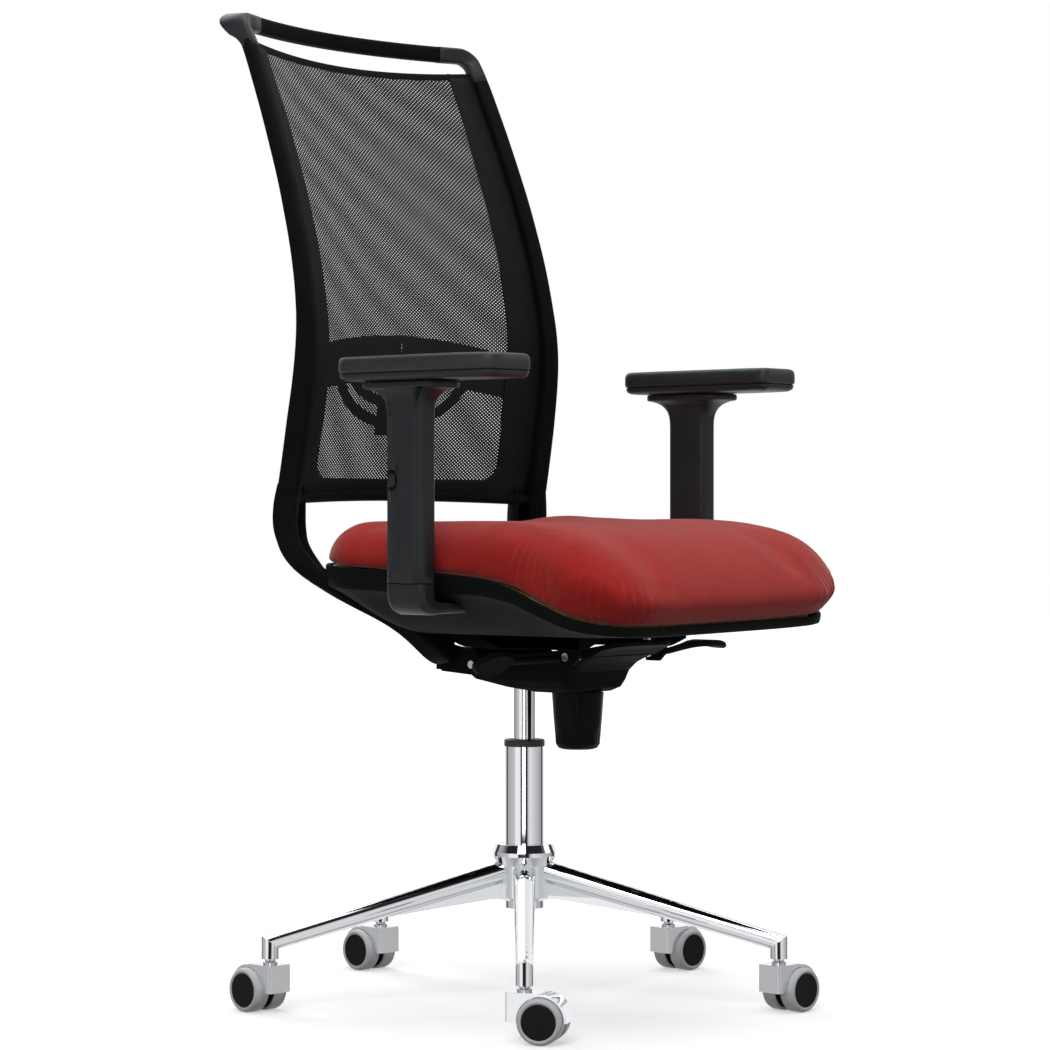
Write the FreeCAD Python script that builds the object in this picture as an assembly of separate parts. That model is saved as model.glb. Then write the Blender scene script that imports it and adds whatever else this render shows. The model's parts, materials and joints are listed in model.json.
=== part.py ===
# Swivel office chair: five-legged base on twin-wheel casters, gas lift, synchronised tilt
# mechanism, upholstered seat, mesh back with a sliding lumbar support, and adjustable arms.
# Millimetres. +Z is up, the sitter looks along -Y, and the origin is on the floor under
# the column's axis.
import FreeCAD, Part
import math
import os

V = FreeCAD.Vector

# ---- driving dimensions ----
running_gap = 0.05       # radial clearance of shafts and slides
body_gap = 0.4           # clearance between faces of different bodies

# star base
leg_count = 5
first_leg_angle = 220.0
leg_reach = 330.0        # column axis to caster stem
leg_root_radius = 30.0   # where a leg leaves the hub
leg_root_z = 166.5
leg_root_diameter = 29.0
leg_tip_z = 86.5
leg_tip_diameter = 22.0
gusset_depth = 22.0      # how far the web hangs under the leg at the hub
gusset_length = 175.0
gusset_width = 13.0
socket_bottom_z = 66.5
hub_top_z = 199.0
hub_bottom_z = 128.0
hub_collar_diameter = 82.0
hub_waist_diameter = 67.0

# casters
wheel_diameter = 55.0
wheel_disc_diameter = 42.0
wheel_width = 21.0
wheel_pair_width = 52.0
caster_trail = 23.0
caster_angles = [295.0, 355.0, 355.0, 85.0, 85.0]   # direction each caster trails, by leg
hood_width = 34.0
hood_wall = 3.0
hood_wheel_gap = 1.0
hood_front = 19.0
hood_bottom_z = 26.0
hood_top_z = 60.0
axle_diameter = 6.0
stem_diameter = 11.0
stem_top_z = 90.0
stem_seat_depth = 12.0   # how deep the stem sits in the hood

# gas lift
lift_tube_diameter = 50.0
lift_tube_wall = 2.0
lift_tube_bottom_z = 118.0
lift_tube_top_z = 327.0
guide_ring_diameter = 51.5
guide_ring_height = 8.5
guide_ring_top_z = 330.5
guide_bush_length = 72.0
cylinder_diameter = 28.0
cylinder_wall = 2.0
cylinder_bottom_z = 188.0
cylinder_top_z = 434.0
cylinder_taper = 1.0
rod_diameter = 10.0
piston_z = 262.0
piston_height = 14.0

# tilt mechanism
housing_width = 130.0
housing_rear_y = 52.0
housing_front_y = -160.0
housing_belly_front_y = -112.0   # where the flat underside ends
housing_slope_start_y = -195.0   # where the falling top begins
housing_bottom_z = 394.0
housing_edge_z = 414.0
housing_top_front_z = 456.0
housing_top_rear_z = 432.0
cover_front_y = -196.0
cover_width = 128.0
back_pivot_y = 20.0
back_pivot_z = 427.0
seat_pivot_y = -140.0
seat_pivot_z = 447.0
pin_diameter = 10.0
spring_pocket_radius = 28.0
knob_y = -87.0
knob_top_z = 393.0
knob_bottom_z = 322.0
knob_top_diameter = 65.0
knob_bottom_diameter = 55.0
knob_flutes = 26
lever_z = 438.0
height_lever_y = -119.0
tilt_lever_y = -119.0
lever_shaft_diameter = 9.0
height_lever_reach = 231.0
tilt_lever_reach = 240.0
paddle_length = 62.0

# seat
seat_width = 500.0
seat_front_y = -336.0
seat_rear_y = 158.0
seat_corner_radius = 86.0
band_height_rear = 27.0
band_height_front = 13.0
bowl_bottom_z = 467.0
bowl_side_inset = 112.0
bowl_rear_inset = 172.0
bowl_front_inset = 150.0
shell_wall = 3.0
pan_thickness = 10.0
pan_inset = 5.0
cushion_inset = 2.0
carrier_thickness = 6.0
carrier_half_width = 88.0
rail_height = 18.0
rail_thickness = 5.0

# back
back_half_width_top = 230.0
back_half_width_mid = 246.0
back_half_width_low = 250.0
back_sag = 45.0          # how far the middle of the back lies behind its sides
upright_width = 20.0
frame_bottom_z = 622.0
frame_top_z = 1236.0
handle_height = 19.0
handle_depth = 15.0
mesh_thickness = 2.0
mesh_top_z = 1219.0
mesh_hem_dip = 12.0      # how far the mesh's upper hem hangs in the middle
mesh_bottom_z = 648.0
lower_bar_height = 18.0
lower_bar_depth = 20.0
lumbar_z = 818.0
lumbar_height = 60.0
lumbar_thickness = 7.0
lumbar_gap = 6.0
lumbar_half_width = 205.0
lumbar_bracket_half_width = 138.0
lumbar_bracket_drop = 60.0
lumbar_tab_half_width = 30.0
yoke_cheek_thickness = 8.0
yoke_channel_gap = 2.5       # between the arms and the shell
back_tilt_travel = 18.0      # degrees
seat_tilt_share = 0.4        # the seat turns this share of the back's tilt

# arms
arm_x = seat_width / 2 + 27.0
arm_y = -56.0
arm_depth = 60.0
arm_thickness = 28.0
arm_corner = 12.0
sleeve_bottom_z = 532.0
sleeve_top_z = 764.0
sleeve_wall = 4.0
arm_plate_top_z = 773.0
arm_plate_length = 122.0
arm_plate_width = 58.0
elbow_bottom_z = 497.0
arm_bar_thickness = 12.0
arm_bar_inner_x = 112.0
post_depth = 44.0
post_thickness = 15.0
post_top_z = 742.0
arm_lift_travel = 80.0
button_z = 655.0
button_y = -37.0
button_depth = 10.0
button_width = 16.0
button_travel = 2.5
pad_centre_y = -88.0
pad_length = 242.0
pad_width = 84.0
pad_base_height = 9.0
pad_height = 21.0
pad_kink_share = 0.22
pad_kink = 11.0


# ---- small geometry helpers ----
def box(x0, x1, y0, y1, z0, z1):
    return Part.makeBox(x1 - x0, y1 - y0, z1 - z0, V(x0, y0, z0))


def rod(radius, start, end):
    a = V(*start)
    b = V(*end)
    return Part.makeCylinder(radius, (b - a).Length, a, b - a)


def face_from(points):
    corners = [V(*p) for p in points]
    return Part.Face(Part.makePolygon(corners + [corners[0]]))


def rounded_rect(x0, x1, y0, y1, radius, z):
    # closed wire in a level plane, with arcs at its corners
    edges = []
    corners = [(x1 - radius, y1 - radius, 0), (x0 + radius, y1 - radius, 90),
               (x0 + radius, y0 + radius, 180), (x1 - radius, y0 + radius, 270)]
    ends = []
    for cx, cy, start in corners:
        points = []
        for turn in (0, 45, 90):
            a = math.radians(start + turn)
            points.append(V(cx + radius * math.cos(a), cy + radius * math.sin(a), z))
        ends.append((points[0], points[2]))
        edges.append(Part.Arc(*points).toShape())
    joined = []
    for i, arc in enumerate(edges):
        joined.append(arc)
        a = ends[i][1]
        b = ends[(i + 1) % 4][0]
        if (b - a).Length > 1e-6:
            joined.append(Part.makeLine(a, b))
    return Part.Wire(joined)


def prism(x0, x1, y0, y1, radius, z0, z1):
    return Part.Face(rounded_rect(x0, x1, y0, y1, radius, z0)).extrude(V(0, 0, z1 - z0))


def loft(wires, ruled=False):
    return Part.makeLoft(wires, True, ruled)


def revolve(profile):
    # profile is a list of (radius, z), turned about the Z axis
    return face_from([(r, 0, z) for r, z in profile]).revolve(V(0, 0, 0), V(0, 0, 1), 360)


def between(table, value):
    # straight-line reading of a table of (key, value) pairs
    for (k0, v0), (k1, v1) in zip(table, table[1:]):
        if value <= k1 or (k1, v1) == table[-1]:
            return v0 + (v1 - v0) * (value - k0) / (k1 - k0)


def smooth_line(points):
    curve = Part.BSplineCurve()
    curve.interpolate([V(*p) for p in points])
    return curve.toShape()


def fuse(shapes):
    return shapes[0].multiFuse(shapes[1:]).removeSplitter()


def mirrored(shape):
    return shape.mirror(V(0, 0, 0), V(1, 0, 0))


def tube_along(points, sections):
    # a bar through points; each section is (width, depth, corner), square to the path
    wires = []
    for i, point in enumerate(points):
        before = V(*points[max(i - 1, 0)])
        after = V(*points[min(i + 1, len(points) - 1)])
        along = (after - before).normalize()
        width, depth, corner = sections[i]
        wire = rounded_rect(-width / 2, width / 2, -depth / 2, depth / 2, corner, 0)
        side = V(1, 0, 0) - along * along.x
        if side.Length < 0.4:
            side = V(0, 1, 0) - along * along.y
        side.normalize()
        across = along.cross(side)
        matrix = FreeCAD.Matrix(side.x, across.x, along.x, point[0],
                                side.y, across.y, along.y, point[1],
                                side.z, across.z, along.z, point[2], 0, 0, 0, 1)
        wires.append(wire.transformGeometry(matrix))
    return loft(wires)


# ---- star base and gas lift ----
def base_leg():
    # one leg along +X: a tapering tube, its web, and the mitred socket for the caster
    root = V(leg_root_radius - 12, 0, leg_root_z)
    tip = V(leg_reach, 0, leg_tip_z)
    slope = (tip - root).normalize()
    past = tip + slope * leg_tip_diameter
    r0 = leg_root_diameter / 2
    r1 = leg_tip_diameter / 2
    total = (past - root).Length
    end_radius = r0 + (r1 - r0) * total / (tip - root).Length
    tube = Part.makeCone(r0, end_radius, total, root, slope)
    sleeve = rod(r1, (leg_reach, 0, socket_bottom_z), (leg_reach, 0, leg_tip_z + leg_tip_diameter))
    bisector = (slope * -1 + V(0, 0, -1)).normalize()
    far = 80
    corner_a = tip + bisector * far
    corner_b = tip - bisector * far
    inner = face_from([(corner_a.x, -far, corner_a.z), (corner_b.x, -far, corner_b.z),
                       (corner_b.x - 6 * far, -far, corner_b.z + far),
                       (corner_a.x - 6 * far, -far, corner_a.z - far)])
    inner = inner.extrude(V(0, 2 * far, 0))
    tube = tube.common(inner)
    sleeve = sleeve.cut(inner)
    web_end = root + slope * gusset_length
    web = face_from([(root.x, 0, root.z), (root.x, 0, root.z - r0 - gusset_depth),
                     (root.x + 28, 0, root.z - r0 - gusset_depth),
                     (web_end.x, 0, web_end.z - r1), (web_end.x, 0, web_end.z)])
    web = web.extrude(V(0, gusset_width, 0))
    web.translate(V(0, -gusset_width / 2, 0))
    return tube, sleeve, web


def make_star_base():
    collar = hub_collar_diameter / 2
    waist = hub_waist_diameter / 2
    bell = revolve([(0, hub_bottom_z), (waist - 3, hub_bottom_z), (waist, hub_bottom_z + 4),
                    (waist, hub_top_z - 27), (collar, hub_top_z - 15), (collar, hub_top_z - 10),
                    (collar - 4, hub_top_z), (0, hub_top_z)])
    pieces = [bell]
    for k in range(leg_count):
        for piece in base_leg():
            piece.rotate(V(0, 0, 0), V(0, 0, 1), first_leg_angle + 360 / leg_count * k)
            pieces.append(piece)
    base = fuse(pieces)
    base = base.cut(rod(lift_tube_diameter / 2, (0, 0, hub_bottom_z - 1), (0, 0, hub_top_z + 1)))
    for x, y, angle in leg_tips():
        bore = rod(stem_diameter / 2 + running_gap, (x, y, socket_bottom_z - 1), (x, y, stem_top_z + 2))
        base = base.cut(bore)
    return base


def leg_tips():
    tips = []
    for k in range(leg_count):
        angle = math.radians(first_leg_angle + 360 / leg_count * k)
        tips.append((leg_reach * math.cos(angle), leg_reach * math.sin(angle), angle))
    return tips


def make_lift_tube():
    outer = lift_tube_diameter / 2
    inner = outer - lift_tube_wall
    tube = rod(outer, (0, 0, lift_tube_bottom_z), (0, 0, lift_tube_top_z - 5))
    tube = tube.cut(rod(inner, (0, 0, lift_tube_bottom_z + 4), (0, 0, lift_tube_top_z)))
    foot = lift_tube_bottom_z
    return tube.cut(rod(rod_diameter / 2 + 3, (0, 0, foot - 1), (0, 0, foot + 5)))


def make_guide_bush():
    # dark ring on the tube's mouth and the long plain bearing inside it
    inner = cylinder_diameter / 2 + running_gap
    sleeve = lift_tube_diameter / 2 - lift_tube_wall
    ring = guide_ring_diameter / 2
    seat = lift_tube_top_z - 5
    return revolve([(inner, seat - guide_bush_length), (sleeve, seat - guide_bush_length),
                    (sleeve, seat), (ring, seat), (ring, guide_ring_top_z - 1.2),
                    (ring - 1.2, guide_ring_top_z), (inner + 1.5, guide_ring_top_z),
                    (inner, guide_ring_top_z - 1.5)])


def make_thrust_bearing():
    floor_z = lift_tube_bottom_z + 4
    bore = rod_diameter / 2 + running_gap
    return revolve([(bore, floor_z), (15, floor_z), (15, floor_z + 7), (bore, floor_z + 7)])


def make_lift_clip():
    # spring clip that keeps the rod's foot in the tube
    z = lift_tube_bottom_z - 2.5
    inner = rod_diameter / 2 + 3.5
    return revolve([(inner, z), (12, z), (12, z + 2.5), (inner, z + 2.5)])


def make_piston_rod():
    r = rod_diameter / 2
    bearing_top = lift_tube_bottom_z + 11 + body_gap
    head = cylinder_diameter / 2 - cylinder_wall - running_gap
    return revolve([(0, lift_tube_bottom_z - 6), (r, lift_tube_bottom_z - 6), (r, bearing_top),
                    (13, bearing_top), (13, bearing_top + 4), (r, bearing_top + 4), (r, piston_z),
                    (head, piston_z), (head, piston_z + piston_height), (0, piston_z + piston_height)])


def make_gas_cylinder():
    outer = cylinder_diameter / 2
    inner = outer - cylinder_wall
    bore = rod_diameter / 2 + running_gap
    shoulder = housing_bottom_z
    body = revolve([(0, cylinder_bottom_z), (outer, cylinder_bottom_z), (outer, shoulder),
                    (outer - cylinder_taper, cylinder_top_z), (0, cylinder_top_z)])
    body = body.cut(rod(inner, (0, 0, cylinder_bottom_z + 10), (0, 0, cylinder_top_z - 24)))
    return body.cut(rod(bore, (0, 0, cylinder_bottom_z - 1), (0, 0, cylinder_bottom_z + 11)))


# ---- casters ----
def caster_at(shape, leg):
    # a caster is drawn with its stem on the Z axis and its wheels trailing along +X
    x, y, angle = leg_tips()[leg]
    shape.rotate(V(0, 0, 0), V(0, 0, 1), caster_angles[leg])
    shape.translate(V(x, y, 0))
    return shape


def turned_wheel(profile, side):
    # profile is a list of (radius, distance from the middle plane), turned about the axle
    points = [(caster_trail, side * w, wheel_diameter / 2 + r) for r, w in profile]
    centre = V(caster_trail, 0, wheel_diameter / 2)
    return face_from(points).revolve(centre, V(0, 1, 0), 360)


def make_hood():
    centre_z = wheel_diameter / 2
    arch = wheel_diameter / 2 + hood_wheel_gap + hood_wall
    half = hood_width / 2
    block = prism(-hood_front, caster_trail, -half, half, 2.5, hood_bottom_z, hood_top_z)
    round_top = rod(arch, (caster_trail, -half, centre_z), (caster_trail, half, centre_z))
    round_top = round_top.common(box(-60, 120, -half, half, hood_bottom_z, 120))
    hood = fuse([block, round_top.common(box(-8, 120, -half, half, 0, 120))])
    pocket = wheel_diameter / 2 + hood_wheel_gap
    web = wheel_pair_width / 2 - wheel_width - 1
    for side in (-1, 1):
        start = (caster_trail, side * web, centre_z)
        hood = hood.cut(rod(pocket, start, (caster_trail, side * 40, centre_z)))
    web_hang = rod(9, (caster_trail, -web, centre_z), (caster_trail, web, centre_z))
    hood = fuse([hood, web_hang])
    hood = hood.cut(rod(axle_diameter / 2, (caster_trail, -40, centre_z), (caster_trail, 40, centre_z)))
    return hood.cut(rod(stem_diameter / 2, (0, 0, hood_top_z - stem_seat_depth), (0, 0, hood_top_z + 1)))


def make_caster_pins():
    # the swivel stem with its shoulder, and the fixed axle
    r = stem_diameter / 2
    foot = hood_top_z - stem_seat_depth
    stem = revolve([(0, foot), (r, foot), (r, hood_top_z), (r + 3.5, hood_top_z),
                    (r + 3.5, hood_top_z + 2.6), (r + 1.2, hood_top_z + 3.6),
                    (r + 1.2, socket_bottom_z - body_gap), (r, socket_bottom_z - body_gap),
                    (r, stem_top_z - 1), (r - 1, stem_top_z), (0, stem_top_z)])
    reach = wheel_pair_width / 2 - 6
    axle = rod(axle_diameter / 2, (caster_trail, -reach, wheel_diameter / 2),
               (caster_trail, reach, wheel_diameter / 2))
    return [stem, axle]


def make_wheel_discs():
    inside = wheel_pair_width / 2 - wheel_width
    outside = wheel_pair_width / 2
    bore = axle_diameter / 2 + running_gap
    disc = wheel_disc_diameter / 2
    rim = wheel_diameter / 2 - 3
    profile = [(bore, inside), (rim, inside), (rim, outside - 4), (disc, outside - 4),
               (disc, outside - 0.9), (disc - 1.2, outside), (0, outside),
               (0, outside - 4), (bore, outside - 4)]
    return [turned_wheel(profile, side) for side in (-1, 1)]


def make_treads():
    inside = wheel_pair_width / 2 - wheel_width
    outside = wheel_pair_width / 2
    disc = wheel_disc_diameter / 2
    rim = wheel_diameter / 2 - 3
    tyre = wheel_diameter / 2
    profile = [(rim, inside), (tyre - 1.5, inside), (tyre, inside + 1.6), (tyre, outside - 5.5),
               (tyre - 0.9, outside - 2.6), (tyre - 2.8, outside - 0.6), (disc + 2, outside - 0.2),
               (disc, outside - 1.2), (disc, outside - 4), (rim, outside - 4)]
    return [turned_wheel(profile, side) for side in (-1, 1)]


# ---- tilt mechanism ----
def top_plane_z(y):
    # the housing's top falls towards the rear to leave room for the seat's tilt
    share = (y - housing_slope_start_y) / (housing_rear_y - housing_slope_start_y)
    return housing_top_front_z + (housing_top_rear_z - housing_top_front_z) * share


def make_housing():
    half = housing_width / 2
    rear = housing_rear_y
    front = housing_front_y
    bottom = housing_bottom_z
    belly = housing_belly_front_y
    wires = [rounded_rect(-half + 18, half - 18, belly, rear - 98, 18, bottom),
             rounded_rect(-half + 10, half - 10, belly - 9, rear - 60, 18, bottom + 5),
             rounded_rect(-half + 3, half - 3, belly - 11, rear - 14, 18, housing_edge_z - 6),
             rounded_rect(-half, half, belly - 14, rear, 16, housing_edge_z + 6)]
    lower = loft(wires, True)
    upper = loft([wires[-1], rounded_rect(-half, half, front + 22, rear, 16, housing_edge_z + 16),
                  rounded_rect(-half, half, front, rear, 16, housing_edge_z + 26),
                  rounded_rect(-half, half, front, rear, 16, 470)], True)
    housing = fuse([lower, upper])
    start = front - 60
    end = rear + 60
    slope = face_from([(-200, start, top_plane_z(start)), (-200, end, top_plane_z(end)),
                       (-200, end, 520), (-200, start, 520)]).extrude(V(400, 0, 0))
    housing = housing.cut(slope)
    housing = housing.cut(Part.makeCone(cylinder_diameter / 2, cylinder_diameter / 2 - cylinder_taper,
                                        cylinder_top_z - bottom, V(0, 0, bottom)))
    housing = housing.cut(rod(3.2, (0, 0, cylinder_top_z - 1), (0, 0, 480)))
    # pocket of the tilt spring, and the screw's hole under it
    housing = housing.cut(rod(spring_pocket_radius, (0, knob_y, bottom + 8), (0, knob_y, 480)))
    housing = housing.cut(rod(6 + running_gap, (0, knob_y, bottom - 5), (0, knob_y, 480)))
    for y, z in ((back_pivot_y, back_pivot_z), (seat_pivot_y, seat_pivot_z - 6)):
        housing = housing.cut(rod(pin_diameter / 2, (-90, y, z), (90, y, z)))
    lever_bore = lever_shaft_diameter / 2 + running_gap
    bores = (((-90, height_lever_y, lever_z), (-half + 22, height_lever_y, lever_z)),
             ((half - 22, tilt_lever_y, lever_z), (90, tilt_lever_y, lever_z)))
    for start, end in bores:
        housing = housing.cut(rod(lever_bore, start, end))
    return housing


def make_front_cover():
    # wedge-shaped cover under the front of the seat
    half = cover_width / 2
    joint = housing_front_y
    top = top_plane_z(joint)
    section = [(joint, housing_edge_z + 27), (joint, top), (cover_front_y, housing_top_front_z + 3),
               (cover_front_y, housing_top_front_z - 2), (joint - 16, housing_edge_z + 35)]
    wedge = face_from([(-half, y, z) for y, z in section]).extrude(V(cover_width, 0, 0))
    plan = prism(-half, half, cover_front_y, joint + 30, 26, 400, 480)
    return wedge.common(plan)


def make_tilt_spring():
    # coil around the tension screw
    wire = 4.2
    radius = spring_pocket_radius - wire / 2 - 2
    start = housing_bottom_z + 8 + wire / 2 + 0.2
    height = 36.0
    turns = 4
    helix = Part.makeHelix(height / turns, height, radius)
    helix.translate(V(0, knob_y, start))
    circle = Part.Wire(Part.makeCircle(wire / 2, V(radius, knob_y, start), V(0, 1, 0)))
    return Part.Wire(helix).makePipeShell([circle], True, False)


def make_pivot_pins():
    pins = []
    half = housing_width / 2 + 16
    seat_half = carrier_half_width + 3
    pins.append(rod(pin_diameter / 2, (-half, back_pivot_y, back_pivot_z),
                    (half, back_pivot_y, back_pivot_z)))
    pins.append(rod(pin_diameter / 2, (-seat_half, seat_pivot_y, seat_pivot_z - 6),
                    (seat_half, seat_pivot_y, seat_pivot_z - 6)))
    return pins


def make_tension_knob():
    top = knob_top_diameter / 2
    bottom = knob_bottom_diameter / 2
    height = knob_top_z - knob_bottom_z
    z0 = knob_bottom_z
    body = revolve([(0, z0), (bottom - 8, z0), (bottom - 3, z0 + 1.8), (bottom, z0 + 6.5),
                    (bottom + 0.55 * (top - bottom), z0 + 0.55 * height), (top, knob_top_z), (0, knob_top_z)])
    for k in range(knob_flutes):
        angle = 2 * math.pi * k / knob_flutes
        low = bottom + 0.5
        high = bottom + 0.5 * (top - bottom) + 1.6
        groove = rod(1.1, (low * math.cos(angle), low * math.sin(angle), z0 + 3),
                     (high * math.cos(angle), high * math.sin(angle), z0 + 0.5 * height))
        body = body.cut(groove)
    body.translate(V(0, knob_y, 0))
    return body


def make_tension_screw():
    # threaded rod of the knob, with the plate that pushes the spring's foot
    screw = rod(6, (0, knob_y, knob_top_z), (0, knob_y, housing_top_front_z - 14))
    return screw


def make_lever(y, reach, side):
    # shaft out of the housing, ending in a drooping teardrop paddle
    half = housing_width / 2
    shaft_end = reach - paddle_length * 0.6
    shaft = rod(lever_shaft_diameter / 2, (half - 20, y, lever_z), (shaft_end, y, lever_z))
    x1 = reach
    x0 = reach - paddle_length
    outline = smooth_line([(x0 - 4, 0, 2), (x0 + 14, 0, 11), (x1 - 20, 0, 9), (x1, 0, -4)])
    under = smooth_line([(x1, 0, -4), (x1 - 12, 0, -17), (x1 - 34, 0, -20), (x0 + 8, 0, -10),
                         (x0 - 4, 0, 2)])
    paddle = Part.Face(Part.Wire([outline, under])).extrude(V(0, 9, 0))
    paddle.translate(V(0, -4.5, 0))
    paddle.rotate(V(reach, 0, 0), V(1, 0, 0), 35)
    paddle.translate(V(0, y, lever_z))
    lever = fuse([shaft, paddle])
    return mirrored(lever) if side < 0 else lever


# ---- seat ----
def joint_line():
    # height of the seam between cushion and shell along the seat, rear to front
    return [(seat_rear_y + 20, 0, 556), (seat_rear_y, 0, 555), (60, 0, 549), (-60, 0, 545), (-130, 0, 541),
            (-185, 0, 530), (-225, 0, 511), (-262, 0, 494), (-300, 0, 486), (seat_front_y, 0, 483),
            (seat_front_y - 20, 0, 482)]


def side_region(top_points, bottom_points):
    # everything between two curves seen from the side, across the whole width
    points_top = [(0, p[0], p[2]) for p in top_points]
    points_bottom = [(0, p[0], p[2]) for p in reversed(bottom_points)]
    wire = Part.Wire([smooth_line(points_top), Part.makeLine(V(*points_top[-1]), V(*points_bottom[0])),
                      smooth_line(points_bottom), Part.makeLine(V(*points_bottom[-1]), V(*points_top[0]))])
    region = Part.Face(wire).extrude(V(2 * seat_width, 0, 0))
    region.translate(V(-seat_width, 0, 0))
    return region


def lowered(points, drop):
    # drop is a number, or a function of the place along the seat
    return [(y, x, z - (drop(y) if callable(drop) else drop)) for y, x, z in points]


def band_height(y):
    share = (y - seat_front_y) / (seat_rear_y - seat_front_y)
    return band_height_front + (band_height_rear - band_height_front) * min(max(share * 1.7, 0), 1)


def plan(inset, z0, z1):
    half = seat_width / 2 - inset
    return prism(-half, half, seat_front_y + inset, seat_rear_y - inset,
                 seat_corner_radius - inset, z0, z1)


def bowl(inset, raise_by):
    # shell's deep middle, narrowing to its flat bottom
    half = seat_width / 2 - inset
    wires = []
    for share, z in ((0.08, 532), (0.42, 505), (1.0, bowl_bottom_z + raise_by)):
        side = bowl_side_inset * share
        rear = bowl_rear_inset * share
        front = bowl_front_inset * share
        radius = seat_corner_radius - inset - 14 * share
        wires.append(rounded_rect(-half + side, half - side, seat_front_y + inset + front,
                                  seat_rear_y - inset - rear, radius, z))
    return loft(wires, True)


def shell_body(inset, wall):
    line = joint_line()
    band = plan(inset, 440, 600).common(side_region(line, lowered(line, lambda y: band_height(y) - wall)))
    deep = bowl(inset + 4, wall).common(side_region(line, lowered(line, 200)))
    return fuse([band, deep])


def arm_bar_slot():
    # recess in the shell's underside that the arm bars lie in
    half = arm_depth / 2 + 0.2
    slots = [box(arm_bar_inner_x - 2, seat_width, arm_y - half, arm_y + half,
                 elbow_bottom_z - 60, elbow_bottom_z + arm_bar_thickness)]
    slots.append(mirrored(slots[0]))
    return slots


def yoke_channels():
    # room for the back's arms in the shell, at rest, half way and all the way through the tilt
    channels = []
    for turn in (0, back_tilt_travel / 2, back_tilt_travel):
        arm = yoke_arm(yoke_channel_gap)
        arm.rotate(V(0, back_pivot_y, back_pivot_z), V(-1, 0, 0), turn)
        arm.rotate(V(0, seat_pivot_y, seat_pivot_z - 6), V(-1, 0, 0), -turn * seat_tilt_share)
        channels += [arm, mirrored(arm)]
    return channels


def make_seat_shell():
    line = joint_line()
    outer = shell_body(0, 0)
    room = side_region(lowered(line, -30), lowered(line, pan_thickness))
    inner = plan(pan_inset, 440, 600).common(room)
    deep = bowl(9, 2 * shell_wall + 3).common(side_region(line, lowered(line, 200)))
    shell = outer.cut(inner).cut(deep)
    blocks = []
    for side in (-1, 1):
        half = arm_depth / 2 + 4
        block = box(arm_bar_inner_x - 8, 226, arm_y - half, arm_y + half, 480, 532)
        blocks.append(block if side > 0 else mirrored(block))
    ribs = fuse([b.common(bowl(6, 1)) for b in blocks])
    shell = fuse([shell, ribs])
    for slot in arm_bar_slot():
        shell = shell.cut(slot)
    for channel in yoke_channels():
        shell = shell.cut(channel)
    for x, y in carrier_bolts():
        shell = shell.cut(rod(3.2, (x, y, bowl_bottom_z - 5), (x, y, bowl_bottom_z + 12)))
    return shell


def make_seat_pan():
    # moulded plywood panel that carries the foam
    line = joint_line()
    return plan(pan_inset, 440, 600).common(side_region(line, lowered(line, pan_thickness)))


def make_cushion():
    # plain closed form of the foam and its cover
    line = joint_line()
    top = [(seat_rear_y + 20, 0, 584), (seat_rear_y - 25, 0, 600), (60, 0, 599), (-60, 0, 601), (-160, 0, 602),
           (-235, 0, 597), (-285, 0, 582), (-318, 0, 558), (seat_front_y - 20, 0, 528)]
    return plan(cushion_inset, 440, 700).common(side_region(top, line))


def carrier_bolts():
    return [(x, y) for x in (-60, 60) for y in (-150, -20)]


def make_seat_carrier():
    half = carrier_half_width
    front = seat_pivot_y - 22
    rear = 4
    top = bowl_bottom_z
    plate = prism(-half, half, front, rear, 10, top - carrier_thickness, top)
    pieces = [plate]
    pin_z = seat_pivot_z - 6
    lug = pin_diameter / 2 + 5
    profile = [(front + 2, top - 1), (front + 2, pin_z), (seat_pivot_y - lug, pin_z - lug),
               (seat_pivot_y + lug, pin_z - lug), (seat_pivot_y + lug + 4, top - rail_height),
               (rear - 40, top - rail_height), (rear - 4, top - carrier_thickness), (rear - 4, top - 1)]
    for side in (-1, 1):
        x0 = half - rail_thickness
        rail = face_from([(x0, y, z) for y, z in profile]).extrude(V(rail_thickness, 0, 0))
        pieces.append(rail if side > 0 else mirrored(rail))
    carrier = fuse(pieces)
    pin = pin_diameter / 2 + running_gap
    carrier = carrier.cut(rod(pin, (-120, seat_pivot_y, pin_z), (120, seat_pivot_y, pin_z)))
    for x, y in carrier_bolts():
        carrier = carrier.cut(rod(3.2, (x, y, top - 20), (x, y, top + 1)))
    # window above the spring and the lift's valve
    return carrier.cut(prism(-45, 45, -128, -40, 8, top - 20, top + 1))


def make_seat_screws():
    screws = []
    for x, y in carrier_bolts():
        under = bowl_bottom_z - carrier_thickness
        head = rod(5.5, (x, y, under - 3), (x, y, under))
        screws.append(fuse([head, rod(3.2, (x, y, under), (x, y, bowl_bottom_z + 9))]))
    return screws


# ---- back ----
side_profile = [(617, 186), (660, 177), (730, 165), (790, 156), (840, 153), (890, 159), (950, 171),
                (1034, 196), (1122, 229), (1212, 267), (1260, 296)]


def side_y(z):
    return between(side_profile, z)


def half_width(z):
    return between([(600, back_half_width_low), (640, back_half_width_low), (819, back_half_width_mid),
                    (1260, back_half_width_top)], z)


def back_y(x, z):
    # the back's middle surface: a shallow vertical trough
    share = x / half_width(z)
    return side_y(z) + back_sag * (1 - share * share)


def upright_depth(z):
    return between([(617, 26), (730, 29), (820, 25), (900, 20), (1034, 19), (1260, 15)], z)


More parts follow.
